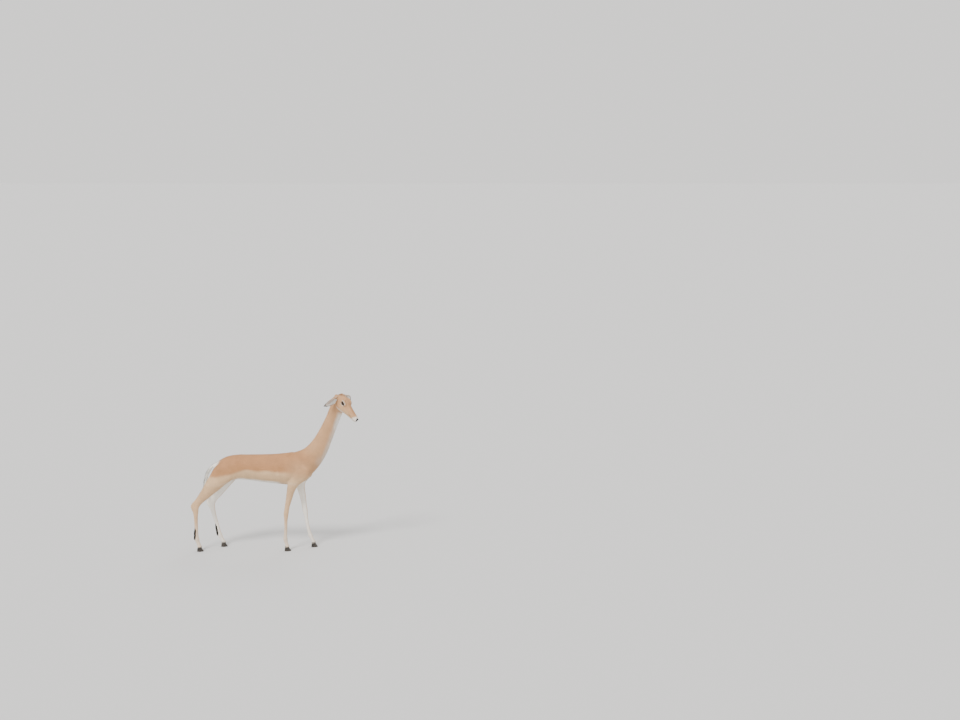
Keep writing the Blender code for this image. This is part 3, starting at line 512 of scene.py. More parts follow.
# Muscle and bone that the skin shows: centre, half sizes and how far it stands out, on both sides,
# so that one on the middle line counts twice. In the drawing's own place.
BODY_RELIEF = (
    ((0.335, 0.095, 0.790), (0.020, 0.060, 0.085), 0.0035),
    ((0.375, 0.095, 0.690), (0.050, 0.060, 0.040), 0.0055),
    ((0.300, 0.100, 0.665), (0.050, 0.060, 0.045), 0.0060),
    ((0.235, 0.110, 0.690), (0.018, 0.060, 0.090), -0.0045),
    ((0.375, 0.085, 0.625), (0.030, 0.050, 0.020), -0.0030),
    ((-0.115, 0.085, 0.798), (0.026, 0.050, 0.022), 0.0060),
    ((-0.060, 0.100, 0.730), (0.050, 0.050, 0.060), -0.0060),
    ((-0.275, 0.075, 0.745), (0.028, 0.050, 0.028), 0.0040),
    ((-0.175, 0.100, 0.640), (0.040, 0.050, 0.050), 0.0045),
    ((-0.245, 0.100, 0.690), (0.022, 0.050, 0.080), -0.0030),
    ((-0.300, 0.100, 0.650), (0.030, 0.050, 0.070), 0.0035),
    ((0.500, 0.045, 0.720), (0.030, 0.030, 0.050), 0.0040),
    ((0.585, 0.045, 0.880), (0.020, 0.030, 0.100), -0.0028),
    ((0.520, 0.060, 0.900), (0.030, 0.040, 0.090), 0.0025),
    ((0.540, 0.000, 0.772), (0.026, 0.050, 0.022), 0.0040),
    ((0.515, 0.055, 0.790), (0.025, 0.030, 0.020), 0.0030),
)
RIB_RISE = 0.0006
RIB_SPACING = 0.036
RIB_SLANT = 0.35

# Lips, brow and nostril rims over the head's form: centre and half sizes in its own frame.
HEAD_GROWTH = (
    (Vector((0.2630, 0.0070, -0.0728)), (0.0130, 0.0090, 0.0065)),
    (Vector((0.2650, 0.0115, -0.0580)), (0.0150, 0.0098, 0.0062)),
    (Vector((0.2735, 0.0128, -0.0470)), (0.0082, 0.0070, 0.0078)),
    (Vector((0.0900, 0.0400, -0.0075)), (0.0210, 0.0070, 0.0052)),
)


def swell_relief(points):
    """How far each point of the body's skin stands out for what lies under it."""
    local = points - SHIFT
    rise = np.zeros(len(points))
    for centre, size, height in BODY_RELIEF:
        for side in (-1, 1):
            away = (local - np.array(centre) * [1, side, 1]) / np.array(size)
            rise += height * np.exp(-0.5 * (away ** 2).sum(axis=1))
    x, _, z = local.T
    ribs = (fade(-0.08, 0.02, x) * fade(0.27, 0.20, x)
            * fade(0.62, 0.68, z) * fade(0.82, 0.76, z))
    wave = np.sin((x + RIB_SLANT * (z - 0.7)) * 2 * math.pi / RIB_SPACING)
    return rise + RIB_RISE * ribs * wave


def off_neck(points):
    """How far a point lies from the neck's middle line."""
    local = points - SHIFT
    height, forward, sideways = NECK_MIDDLE.T
    return np.hypot(local[:, 0] - np.interp(local[:, 2], height, forward),
                    local[:, 1] - np.interp(local[:, 2], height, sideways))


def neck_end(points):
    """How far a point lies beyond the end of the neck node; far beyond it on the muzzle."""
    beyond = (points - (NECK_CUT_POINT + SHIFT)) @ NECK_UP
    high = points[:, 2] > NECK_BASE
    return beyond + 0.3 * fade(0.074, 0.100, off_neck(points)) * high


def body_skin():
    """The skin of trunk, neck, legs and tail, sunk by the depth of the coat."""
    things = [node_copy(name) for name in ("torso", "neck", "foreleg_right", "foreleg_left",
                                           "hindleg_right", "hindleg_left")]
    things += [shank(name) for name in HIND_LEGS] + [tail_core()]
    skin = remeshed(merged("body", things), BODY_VOXEL)
    relax(skin, BODY_ROUNDS)
    away = (vertices_of(skin.data) - SHIFT - BRISKET_CREASE) / BRISKET_REACH
    relax(skin, BRISKET_ROUNDS, push=0.0, share=np.exp(-(away ** 2).sum(axis=1))[:, None])
    thinned(skin, BODY_KEPT)
    points, normals = vertices_of(skin.data), normals_of(skin.data)
    depth = COAT_LEG + (COAT_BODY - COAT_LEG) * fade(0.34, 0.62, points[:, 2])
    rise = swell_relief(points) - depth
    rise -= NECK_RIM * fade(-0.020, -0.004, neck_end(points))
    set_vertices(skin.data, points + normals * rise[:, None])
    return skin


def head_skin():
    """The skin of the head and the top of the neck, with lids, nostrils and mouth cut in."""
    foot = NECK_CUT_POINT + SHIFT - NECK_UP * NECK_OVERLAP
    things = [node_copy("head"), keep_side(node_copy("neck"), foot, NECK_UP)]
    for side, _ in SIDES:
        things.append(ball(mirrored(EYE_CENTRE, side), (EYE_RADIUS + LID_THICKNESS,) * 3, HEAD))
        for centre, size in HEAD_GROWTH:
            things.append(ball(mirrored(centre, side), size, HEAD))
    skin = remeshed(merged("head_skin", things), HEAD_VOXEL)
    relax(skin, HEAD_ROUNDS)
    thinned(skin, HEAD_KEPT)
    points, normals = vertices_of(skin.data), normals_of(skin.data)
    end = neck_end(points)
    depth = np.full(len(points), COAT_HEAD)
    depth += (COAT_BODY - COAT_HEAD) * fade(0.02, -0.045, end)
    depth += NECK_TUCK * fade(-0.040, -NECK_OVERLAP, end)
    bare = fade(0.262, 0.275, seen_from(HEAD, points)[:, 0])
    depth *= 1 - (1 - COAT_BARE) * bare
    set_vertices(skin.data, points - normals * depth[:, None])
    cuts = []
    for side, _ in SIDES:
        cuts.append(ball(mirrored(EYE_CENTRE, side), (EYE_RADIUS + 0.0001,) * 3, HEAD))
        cuts.append(lid_opening(side))
        cuts.append(nostril(side))
    cuts.append(mouth_blade())
    return cut_away(skin, cuts)


def lid_opening(side):
    """A widening almond that opens the lids."""
    turn = np.linspace(0, 2 * math.pi, 48, endpoint=False)
    rings = []
    for depth, grow in ((0.004, 0.55), (0.032, 1.62)):
        x = EYE_OPENING[0] * grow * np.cos(turn)
        y = EYE_OPENING[1] * grow * np.sign(np.sin(turn)) * np.abs(np.sin(turn)) ** 1.5
        rings.append(np.stack([x, y, np.full_like(x, depth)], axis=1))
    made = loft("opening", rings)
    made.data.transform(eye_matrix(side))
    return made


def nostril(side):
    lean = (Matrix.Rotation(NOSTRIL_LEAN * side, 4, "Z")
            @ Matrix.Rotation(NOSTRIL_ROLL * side, 4, "X"))
    return ball((0, 0, 0), NOSTRIL_SIZE,
                HEAD @ Matrix.Translation(mirrored(NOSTRIL_CENTRE, side)) @ lean)


def mouth_blade():
    """A thin curved blade round the muzzle along the line of the lips."""
    vertices = []
    for i in range(-MOUTH_STEPS, MOUTH_STEPS + 1):
        share = abs(i) / MOUTH_STEPS
        side = (i > 0) - (i < 0)
        x = MOUTH_FRONT - (MOUTH_FRONT - MOUTH_CORNER) * share ** 1.9
        y = MOUTH_REACH * min(1, share * 1.6) ** 0.55
        z = MOUTH_HEIGHT + MOUTH_RISE * share ** 2
        inner = min(y, np.interp(x, *MOUTH_CORE))
        for at_x, at_y, gap in ((x, y, MOUTH_GAP), (min(x, MOUTH_INNER), inner, MOUTH_GAP / 2)):
            vertices.append((at_x, at_y * side, z + gap / 2))
            vertices.append((at_x, at_y * side, z - gap / 2))
    faces = []
    last = 8 * MOUTH_STEPS
    for a in range(0, last, 4):
        b = a + 4
        faces += [(a, b, b + 1, a + 1), (a + 2, a + 3, b + 3, b + 2)]
        faces += [(a, a + 2, b + 2, b), (a + 1, b + 1, b + 3, a + 3)]
    faces += [(0, 1, 3, 2), (last, last + 2, last + 3, last + 1)]
    made = outward("mouth", vertices, faces)
    made.data.transform(HEAD)
    return made


# The ear as (share of its length, half width, half arc in degrees, thickness).
EAR_CUP = ((-0.10, 0.0105, 138, 0.0075), (0.04, 0.0128, 130, 0.0058),
           (0.16, 0.0188, 114, 0.0046), (0.32, 0.0268, 92, 0.0038),
           (0.50, 0.0300, 76, 0.0032), (0.68, 0.0268, 62, 0.0028),
           (0.84, 0.0185, 48, 0.0024), (0.95, 0.0090, 38, 0.0020), (1.00, 0.0030, 30, 0.0016))
EAR_INSET = 0.0006
EAR_RIM = 0.45
EAR_FOLD = 0.0010
EAR_RIPPLE = 9.0


def ear(side):
    """A cupped leaf: its back first, then its inner face, edges joined."""
    rows = smooth_curve(EAR_CUP, EAR_ALONG)
    outer, inner = [], []
    for along, half_width, arc, thickness in rows:
        arc = math.radians(arc)
        radius = half_width / math.sin(min(arc, math.pi / 2))
        for i in range(EAR_ACROSS + 1):
            share = 2 * i / EAR_ACROSS - 1
            angle = arc * share
            rim = 1 - EAR_RIM * abs(share)
            fold = EAR_FOLD * math.sin(share * EAR_RIPPLE) * math.sin(math.pi * min(1, max(0, along)))
            cup = radius - EAR_INSET - thickness * EAR_THINNING * rim + fold
            for skin, shell in ((outer, radius - EAR_INSET), (inner, max(cup, 0.0006))):
                skin.append((along * EAR_LENGTH, shell * math.sin(angle),
                             radius - shell * math.cos(angle)))
    width, shift = EAR_ACROSS + 1, len(outer)
    faces = []
    for r in range(len(rows) - 1):
        for s in range(EAR_ACROSS):
            a = r * width + s
            faces.append((a, a + 1, a + width + 1, a + width))
            faces.append((shift + a, shift + a + width, shift + a + width + 1, shift + a + 1))
        for s in (0, EAR_ACROSS):
            a = r * width + s
            faces.append((a, a + width, shift + a + width, shift + a))
    for r in (0, len(rows) - 1):
        for s in range(EAR_ACROSS):
            a = r * width + s
            faces.append((a, a + 1, shift + a + 1, shift + a))
    made = outward("ear_skin", outer + inner, faces)
    made.data.transform(ear_matrix(side))
    return made


def blend(base, other, share):
    return base + (other - base) * share[:, None]


def painted(colour, *layers):
    """A colour under layers, each a colour and its share at each point."""
    for tone, share in layers:
        colour = blend(colour, tone, share)
    return colour


def ridge(distance, half_width):
    """1 on a line, falling off within about its half width."""
    return np.exp(-(distance / half_width) ** 2)


def noise(points, scale, seed):
    """Soft noise from a sum of sines, mostly between -1 and 1."""
    rng = np.random.default_rng(seed)
    total = np.zeros(len(points))
    for _ in range(6):
        direction = rng.normal(size=3)
        direction /= np.linalg.norm(direction)
        total += np.sin(points @ direction * scale * rng.uniform(0.6, 1.5) + rng.uniform(0, 6.3))
    return total / 3.0


# Edges of the markings as (forward, height), the leg's reach as (height, distance), the neck's
# root and the slopes along which its colour and its hair run.
SADDLE_EDGE = ((-0.36, -0.25, -0.05, 0.15, 0.30, 0.42), (0.668, 0.690, 0.722, 0.718, 0.704, 0.702))
BELLY_EDGE = ((-0.30, -0.15, 0.05, 0.30, 0.45), (0.600, 0.644, 0.634, 0.614, 0.612))
LEG_REACH = ((0.0, 0.15, 0.35, 0.60, 0.70), (0.05, 0.045, 0.07, 0.13, 0.16))
NECK_ROOT = np.array([0.50, 0, 0.815])
NECK_SLOPE = np.array([math.cos(math.radians(48)), 0, math.sin(math.radians(48))])
HAIR_ROOT = np.array([0.47, 0, 0.80])
HAIR_SLOPE = np.array([math.cos(math.radians(66)), 0, math.sin(math.radians(66))])


def leg_weight(points, name):
    """How much a point belongs to one leg, by its place round the leg's middle line."""
    x, y = leg_middle(name, points[:, 2])
    near = np.hypot((points[:, 0] - x), (points[:, 1] - y) * 1.2)
    reach = np.interp(points[:, 2], *LEG_REACH)
    return fade(1.2, 0.85, near / reach) * fade(0.70, 0.58, points[:, 2])


def body_colour(points, normals):
    """The coat's colours on trunk, neck, legs and tail."""
    local = points - SHIFT
    x, y, z = local.T
    off = np.abs(y)
    forward, back = normals[:, 0], -normals[:, 0]
    wobble = noise(points, 60, 1) * 0.006 + noise(points, 17, 2) * 0.008

    # Saddle, shoulder, neck and throat.
    saddle = fade(-0.012, 0.014, z - (np.interp(x, *SADDLE_EDGE) + wobble))
    shoulder = fade(0.26, 0.40, x) * fade(0.86, 0.74, z) * fade(0.62, 0.70, z)
    along_neck = (local - NECK_ROOT) @ NECK_SLOPE
    neck = fade(-0.05, 0.10, along_neck)
    neck_tone = blend(NECK_FAWN, WHITE * 0.93, 0.55 * fade(0.25, 0.80, forward))
    throat = fade(0.30, 0.40, along_neck) * fade(0.30, 0.75, forward)

    # Belly, and the legs with their pale inner sides.
    belly = fade(0.010, -0.010, z - (np.interp(x, *BELLY_EDGE) + wobble * 0.7)) * (1 - neck)
    legs, inner = np.zeros((2, len(points)))
    for name in LEG_LINES:
        weight = leg_weight(points, name)
        side = -1 if name.endswith("right") else 1
        legs = np.maximum(legs, weight)
        inner = np.maximum(inner, weight * fade(0.20, 0.75, -normals[:, 1] * side))
    leg_tone = blend(LEG_FAWN, WHITE * 0.90, 0.45 * fade(0.30, 0.10, z))

    # White rump, a black stripe down each buttock, and the tail with its black line.
    rump = fade(0.30, 0.75, back) * fade(-0.25, -0.31, x) * fade(0.50, 0.60, z)
    root = fade(-0.275, -0.300, x) * fade(0.050, 0.030, off) * fade(0.60, 0.66, z)
    rump = np.maximum(rump * fade(0.10, 0.080, off), root) * fade(0.062, 0.050, off)
    stripe = (ridge(off - 0.055 - 0.004 * noise(points, 30, 4), 0.0070) * fade(0.10, 0.50, back)
              * fade(-0.22, -0.28, x) * fade(0.545, 0.625, z) * fade(0.762, 0.715, z))
    tail = (fade(-0.336, -0.356, x) * fade(0.034, 0.028, off) * fade(0.46, 0.49, z)
            * (1 - legs * (x > -0.38)))
    line = ridge(y, 0.0046) * fade(0.30, 0.70, 0.65 * normals[:, 2] + 0.75 * back)
    midline = (ridge(y, 0.0075) * fade(-0.23, -0.30, x) * fade(-0.365, -0.345, x)
               * fade(0.70, 0.72, z))

    # Black under the shanks' tufts and over the hooves.
    tuft = np.zeros(len(points))
    for name in HIND_LEGS:
        at_x, at_y = leg_middle(name, points[:, 2])
        near = np.hypot(at_x - points[:, 0], at_y - points[:, 1]) < 0.06
        tuft = np.maximum(tuft, near * fade(0.004, 0.013, at_x - points[:, 0]))
    tuft *= fade(0.118, 0.135, z) * fade(0.212, 0.198, z)
    coronet = fade(0.050, 0.040, z + 0.004 * noise(points, 90, 5))
    return painted(FLANK, (SADDLE, saddle), (NECK_FAWN, 0.85 * shoulder), (neck_tone, neck),
                   (WHITE, throat), (WHITE, belly * (1 - legs)),
                   (leg_tone, legs * fade(0.64, 0.50, z)),
                   (WHITE, 0.92 * inner * (1 - 0.3 * fade(0.30, 0.10, z))), (WHITE, rump),
                   (BLACK, np.clip(1.10 * stripe, 0, 1)),
                   (blend(WHITE, BLACK, 0.90 * line), tail), (BLACK, 0.80 * midline),
                   (BLACK, tuft), (BLACK, 0.75 * coronet))


# The bare black nose between the nostrils: heights in the head's frame and half widths.
NOSE_HEIGHTS = (-0.0660, -0.0590, -0.0535, -0.0480, -0.0430, -0.0385, -0.0350)
NOSE_WIDTHS = (0.0020, 0.0042, 0.0110, 0.0168, 0.0165, 0.0110, 0.0020)


def nose_share(local, wobble):
    """How much of the bare black nose each point of the head carries."""
    half = np.interp(local[:, 2], NOSE_HEIGHTS, NOSE_WIDTHS, left=-0.01, right=-0.01)
    inside = fade(0.0012, -0.0012, np.abs(local[:, 1]) - half + wobble)
    return inside * fade(0.2610, 0.2660, local[:, 0])


def mouth_line(x):
    """The height of the mouth's line at a place along the head."""
    back = np.clip((MOUTH_FRONT - x) / (MOUTH_FRONT - MOUTH_CORNER), 0, 1)
    return MOUTH_HEIGHT + MOUTH_RISE * back ** 1.05


def eye_ring(eye, wide, high):
    """How far points lie out from the eye's middle, 1 at an outline of given half sizes."""
    return np.hypot(eye[:, 0] / wide, eye[:, 1] / high)


def head_colour(points, normals):
    """The coat's colours on the head, and how wet and bare each point is."""
    local = seen_from(HEAD, points)
    x, y, z = local.T
    side = np.abs(y)
    facing = normals @ np.array(HEAD.inverted())[:3, :3].T
    wobble = noise(points, 110, 6) * 0.0022

    # White under the jaw and round the muzzle; darker bridge and crown.
    below = fade(-0.074, -0.094, z + 0.16 * (x - 0.12) + wobble)
    off = fade(0.060, 0.080, off_neck(points))
    jaw = fade(0.15, 0.55, -facing[:, 2]) * fade(0.05, -0.30, normals[:, 2])
    reach = np.maximum(fade(0.10, 0.17, x) * off, jaw * fade(0.020, 0.050, x))
    cheek = fade(-0.030, -0.070, z) * np.maximum(off, jaw)
    muzzle = fade(0.232, 0.256, x + wobble - 0.55 * (z + 0.055))
    bridge = (fade(0.15, 0.6, facing[:, 2]) * fade(0.105, 0.140, x) * fade(0.250, 0.225, x)
              * fade(0.020, 0.010, side))
    crown = (fade(-0.020, 0.015, x) * fade(0.2, 0.7, facing[:, 2])
             * fade(0.080, 0.020, x + 0.9 * side + 2.5 * wobble) * fade(0.034, 0.018, side))
    colour = painted(FACE, (WHITE, 0.95 * below * reach), (FLANK, 0.55 * cheek),
                     (WHITE, 0.85 * muzzle), (CROWN * 1.6, 0.45 * bridge),
                     (CROWN, 0.80 * crown))

    # Round each eye: a pale ring, the bare lids and the dark mark before the eye.
    bare = np.zeros(len(points))
    for sign, _ in SIDES:
        eye = seen_from(eye_matrix(sign), points)
        front = fade(0.0, 0.006, eye[:, 2])
        pale = 0.75 * fade(0.20, 0.60, np.abs(eye[:, 1]) / 0.0185)
        pale = pale * front * fade(1.25, 0.88, eye_ring(eye, 0.0265, 0.0185) + wobble * 18)
        rim = eye_ring(eye, EYE_OPENING[0] + 0.0056, EYE_OPENING[1] + 0.0024)
        lid = front * fade(1.02, 0.84, rim)
        tear = np.exp(-eye_ring(eye - [0.0235, -0.004, 0], 0.0085, 0.0036) ** 2)
        colour = painted(colour, (WHITE, pale), (LID, lid),
                         (LID, 0.80 * front * np.clip(tear * 1.2, 0, 1)))
        bare = np.maximum(bare, 0.6 * lid)

    # Nose, lips and the change to the neck.
    nose = nose_share(local, wobble * 0.4)
    lips = ridge(z - mouth_line(x), 0.0020) * fade(0.190, 0.205, x)
    neck = fade(0.055, 0.005, neck_end(points))
    colour = painted(colour, (NOSE, nose), (LID, 0.80 * lips),
                     (body_colour(points, normals), neck))
    return colour, np.maximum(bare, nose)


def ear_colour(points, side):
    """The coat's colours on an ear, and 1 where a point lies in its cup."""
    local = seen_from(ear_matrix(side), points)
    along = local[:, 0] / EAR_LENGTH
    places, halves, arcs, _ = np.array(EAR_CUP).T
    arc = np.radians(np.interp(along, places, arcs))
    radius = np.interp(along, places, halves) / np.sin(np.minimum(arc, math.pi / 2))
    shell = np.hypot(local[:, 1], radius - local[:, 2])
    inside = fade(0.0006, 0.0012, radius - shell)
    spread = np.abs(np.arctan2(local[:, 1], radius - local[:, 2])) / np.maximum(arc, 0.1)
    tip = fade(0.80, 0.88, along + 0.10 * (spread - 0.5))
    edge = fade(0.70, 0.92, spread) * fade(0.35, 0.60, along)
    root = fade(0.14, 0.02, along) * fade(0.5, 0.2, spread)
    cup = painted(WHITE, (EAR_PINK, 0.55 * fade(0.6, 0.2, spread)), (LID, 0.75 * root),
                  (BLACK * 1.4, 0.75 * edge), (BLACK * 1.4, 0.75 * tip))
    return painted(FACE, (BLACK, tip), (cup, inside)), inside


def new_material(name):
    """A material with its node tree and its shader."""
    made = bpy.data.materials.new(name)
    made.use_nodes = True
    return made, made.node_tree, made.node_tree.nodes["Principled BSDF"]


def set_inputs(node, values):
    for key, value in values.items():
        node.inputs[key].default_value = value


def feed(node, feeds):
    for key, output in feeds.items():
        node.id_data.links.new(output, node.inputs[key])


def add_node(tree, kind, values=None, feeds=None, **settings):
    """A shader node with its settings, the values of its inputs and what feeds them."""
    made = tree.nodes.new("ShaderNode" + kind)
    for key, value in settings.items():
        setattr(made, key, value)
    set_inputs(made, values or {})
    feed(made, feeds or {})
    return made


def place_of(tree):
    return add_node(tree, "TexCoord").outputs["Object"]


def math_node(tree, operation, *feeds, values=None):
    feeds = dict(enumerate(feeds))
    return add_node(tree, "Math", values, feeds, operation=operation).outputs[0]


def noise_texture(tree, place, scale, detail, roughness=0.5):
    values = {"Scale": scale, "Detail": detail, "Roughness": roughness}
    return add_node(tree, "TexNoise", values, {"Vector": place}).outputs["Fac"]


def remapped(tree, source, given, wanted):
    values = dict(zip(("From Min", "From Max", "To Min", "To Max"), (*given, *wanted)))
    return add_node(tree, "MapRange", values, {"Value": source}).outputs["Result"]


def ramped(tree, source, *stops):
    """A colour ramp between two stops of place and colour."""
    made = add_node(tree, "ValToRGB", feeds={"Fac": source})
    for element, (place, colour) in zip(made.color_ramp.elements, stops):
        element.position = place
        element.color = (*colour, 1)
    return made.outputs["Color"]


def bump(tree, height, strength, distance):
    values = {"Strength": strength, "Distance": distance}
    return add_node(tree, "Bump", values, {"Height": height}).outputs["Normal"]


def coat_material():
    """Short fur: the marking's colour with a fine and a broad grain and a soft sheen."""
    made, tree, shader = new_material("coat")
    place = place_of(tree)
    marking = add_node(tree, "Attribute", attribute_name="coat")
    fine = noise_texture(tree, place, FUR_GRAIN, 6.0, 0.65)
    broad = noise_texture(tree, place, 14.0, 4.0)
    both = math_node(tree, "MULTIPLY", remapped(tree, fine, (0.25, 0.75), (0.88, 1.10)),
                     remapped(tree, broad, (0.30, 0.70), (0.93, 1.06)))
    tint = add_node(tree, "VectorMath", feeds={0: marking.outputs["Color"], "Scale": both},
                    operation="SCALE")
    wet = add_node(tree, "Attribute", attribute_name="wet").outputs["Fac"]
    feed(shader, {"Base Color": tint.outputs["Vector"],
                  "Normal": bump(tree, fine, FUR_BUMP, 0.0012),
                  "Roughness": remapped(tree, wet, (0, 1), (0.66, 0.30))})
    set_inputs(shader, {"Specular IOR Level": 0.35, "Sheen Weight": 0.14,
                        "Sheen Roughness": 0.45})
    return made


def horn_material():
    """Dark horn with growth rings and worn patches."""
    made, tree, shader = new_material("hoof horn")
    place = place_of(tree)
    rings = add_node(tree, "TexWave", {"Scale": 70.0, "Distortion": 2.5, "Detail": 3.0},
                     {"Vector": place}, wave_type="BANDS", bands_direction="Z")
    dirt = noise_texture(tree, place, 90.0, 6.0)
    tone = ramped(tree, dirt, (0.35, (0.018, 0.015, 0.013)), (0.75, (0.085, 0.070, 0.056)))
    feed(shader, {"Base Color": tone, "Normal": bump(tree, rings.outputs["Fac"], 0.35, 0.0008),
                  "Roughness": remapped(tree, dirt, (0, 1), (0.32, 0.62))})
    return made


def eye_material():
    """A dark brown iris with a level, oblong pupil, under a wet gloss."""
    made, tree, shader = new_material("eye")
    place = place_of(tree)
    parts = add_node(tree, "SeparateXYZ", feeds={"Vector": place})

    def outline(half_sizes):
        """The squared distance from the middle, 1 at an ellipse of given half sizes."""
        squares = []
        for axis, half in zip("XY", half_sizes):
            share = math_node(tree, "DIVIDE", parts.outputs[axis], values={1: half})
            squares.append(math_node(tree, "MULTIPLY", share, share))
        return math_node(tree, "ADD", *squares)

    def mixed(factor, colour, other):
        feeds = {"Factor": factor, **other}
        return add_node(tree, "Mix", colour, feeds, data_type="RGBA").outputs["Result"]

    iris = ramped(tree, noise_texture(tree, place, 260.0, 5.0),
                  (0.30, (0.030, 0.013, 0.006)), (0.72, (0.085, 0.038, 0.014)))
    pupil = remapped(tree, outline(PUPIL), (0.80, 1.25), (0, 1))
    edge = remapped(tree, outline(IRIS), (0.86, 1.10), (0, 1))
    inner = mixed(pupil, {"A": (0.004, 0.004, 0.006, 1)}, {"B": iris})
    feed(shader, {"Base Color": mixed(edge, {"B": (0.030, 0.020, 0.016, 1)}, {"A": inner})})
    set_inputs(shader, {"Roughness": 0.12, "Coat Weight": 1.0, "Coat Roughness": 0.02,
                        "Coat IOR": 1.38, "Specular IOR Level": 0.0})
    return made


def set_colour(mesh, colours):
    layer = mesh.color_attributes.new("coat", "FLOAT_COLOR", "POINT")
    rgba = np.ones((len(colours), 4), dtype=np.float32)
    rgba[:, :3] = np.clip(colours, 0, 1)
    layer.data.foreach_set("color", rgba.ravel())


def sample_roots(points, triangles, density, rng):
    """Random spots on triangles, as many to the square metre as the density says.

    Each is the triangle that it lies on and the weights of its corners.
    """
    a, b, c = (points[triangles[:, i]] for i in range(3))
    area = np.linalg.norm(np.cross(b - a, c - a), axis=1) / 2
    wanted = area * at(density, (a + b + c) / 3)
    count = np.floor(wanted + rng.random(len(wanted))).astype(int)
    which = np.repeat(np.arange(len(triangles)), count)
    u, v = rng.random(len(which)), rng.random(len(which))
    flip = u + v > 1
    u[flip], v[flip] = 1 - u[flip], 1 - v[flip]
    return which, np.stack([1 - u - v, u, v], axis=1)[:, :, None]


def rotated(first, second, angle):
    """Two directions turned in their plane by an angle at each point."""
    cos, sin = np.cos(angle)[:, None], np.sin(angle)[:, None]
    return first * cos + second * sin, second * cos - first * sin


def tufts(name, roots, normals, lie, length, width, lift, colours, places, coat, rng):
    """Closed, flat, tapered tufts of hair as one mesh."""
    n = len(roots)
    lie = lie - normals * (lie * normals).sum(axis=1)[:, None]
    lie /= np.maximum(np.linalg.norm(lie, axis=1), 1e-9)[:, None]
    run, flat = rotated(lie, normals, lift)
    across, flat = rotated(np.cross(run, flat), flat, rng.normal(0, TUFT_TWIST, n))
    points = np.empty((n, 7, 3), dtype=np.float32)
    for first, (share, sunk, depth, wide) in zip((0, 3), TUFT_RINGS):
        spot = (roots + run * (length * (share - sunk))[:, None]
                - flat * (TUFT_CURL * length * share ** 2)[:, None] - normals * depth)
        half = (width * wide / 2)[:, None]
        points[:, first] = spot - across * half - flat * half * TUFT_THICK * TUFT_BELOW
        points[:, first + 1] = spot + across * half - flat * half * TUFT_THICK * TUFT_BELOW
        points[:, first + 2] = spot + flat * half * TUFT_THICK * TUFT_ABOVE
    points[:, 6] = roots + run * length[:, None] - flat * (TUFT_CURL * length)[:, None]
    faces = (TUFT_FACES[None] + (np.arange(n, dtype=np.int32) * 7)[:, None, None]).reshape(-1, 3)
    mesh = bpy.data.meshes.new(name)
    mesh.vertices.add(n * 7)
    mesh.vertices.foreach_set("co", points.reshape(-1))
    mesh.loops.add(len(faces) * 3)
    mesh.loops.foreach_set("vertex_index", faces.reshape(-1))
    mesh.polygons.add(len(faces))
    mesh.polygons.foreach_set("loop_start", np.arange(0, len(faces) * 3, 3, dtype=np.int32))
    mesh.polygons.foreach_set("use_smooth", np.ones(len(faces), dtype=bool))
    mesh.update(calc_edges=True)
    leans = np.empty((n, 7, 3), dtype=np.float32)
    for corner, sideways in enumerate(TUFT_SIDES):
        leans[:, corner] = normals + TUFT_ROUNDING * sideways * across
    leans /= np.linalg.norm(leans, axis=2)[:, :, None]
    corners = leans[:, TUFT_FACES]
    corners[:, :TUFT_UNDERSIDES] = -flat[:, None, None]
    mesh.normals_split_custom_set(corners.reshape(-1, 3))
    patch = (places[:, None] + UV_SPREAD * UV_PATCH - [0, UV_PATCH / 2]).reshape(-1, 2)
    layer = mesh.uv_layers.new(name="OFBake")
    layer.data.foreach_set("uv", patch[faces.reshape(-1)].astype(np.float32).ravel())
    # Painted shade along each tuft, darker at the root than at the tip, times a random tone per tuft.
    tone = colours[:, None] * TUFT_SHADE[:, None] * rng.uniform(*TONE_RANGE, n)[:, None, None]
    set_colour(mesh, tone.reshape(-1, 3))
    mesh.materials.append(coat)
    return linked(name, mesh)


def unwrap(thing):
    """An unwrap of the piece's own shape, by the way its faces look."""
    bpy.ops.object.select_all(action="DESELECT")
    thing.select_set(True)
    bpy.context.view_layer.objects.active = thing
    thing.data.uv_layers.new(name="OFBake")
    bpy.ops.object.mode_set(mode="EDIT")
    bpy.ops.mesh.select_all(action="SELECT")
    bpy.ops.uv.smart_project(angle_limit=math.radians(66), island_margin=0.001)
    bpy.ops.object.mode_set(mode="OBJECT")


def in_order(points, triangles, uv):
    """The triangles in an order, and each from a corner, that only their places decide."""
    rank = np.lexsort(np.round(points, 7).T)
    place = np.empty(len(points), dtype=np.int64)
    place[rank] = np.arange(len(points))
    first = np.argmin(place[triangles], axis=1)
    turn = (first[:, None] + np.arange(3)) % 3
    rows = np.arange(len(triangles))[:, None]
    triangles, uv = triangles[rows, turn], uv[rows, turn]
    order = np.lexsort(place[triangles].T)
    return triangles[order], uv[order]


def body_lie(points, normals):
    """The way the hairs point on the body: back on the trunk, down on neck and legs."""
    local = points - SHIFT
    x, y, z = local.T
    lie = np.tile(np.array([-1.0, 0, -0.22]), (len(points), 1))
    neck = fade(-0.02, 0.16, (local - HAIR_ROOT) @ HAIR_SLOPE * (x > 0.30))
    lie = blend(lie, -HAIR_SLOPE, neck)
    chest = fade(0.36, 0.50, x) * fade(0.84, 0.72, z)
    lie = blend(lie, (0.1, 0, -1.0), chest)
    thigh = fade(-0.10, -0.24, x) * fade(0.80, 0.66, z)
    lie = blend(lie, (-0.45, 0, -1.0), thigh)
    lie = blend(lie, (-0.12, 0, -1.0), fade(0.64, 0.52, z))
    tail = fade(-0.335, -0.365, x) * (z > 0.44) * (np.abs(y) < 0.03)
    lie = blend(lie, (-0.05, 0, -1.0), tail)
    swirl = 0.10 * noise(points, 25, 11)
    return lie + np.stack([np.zeros_like(swirl), swirl, swirl * 0.6], axis=1)


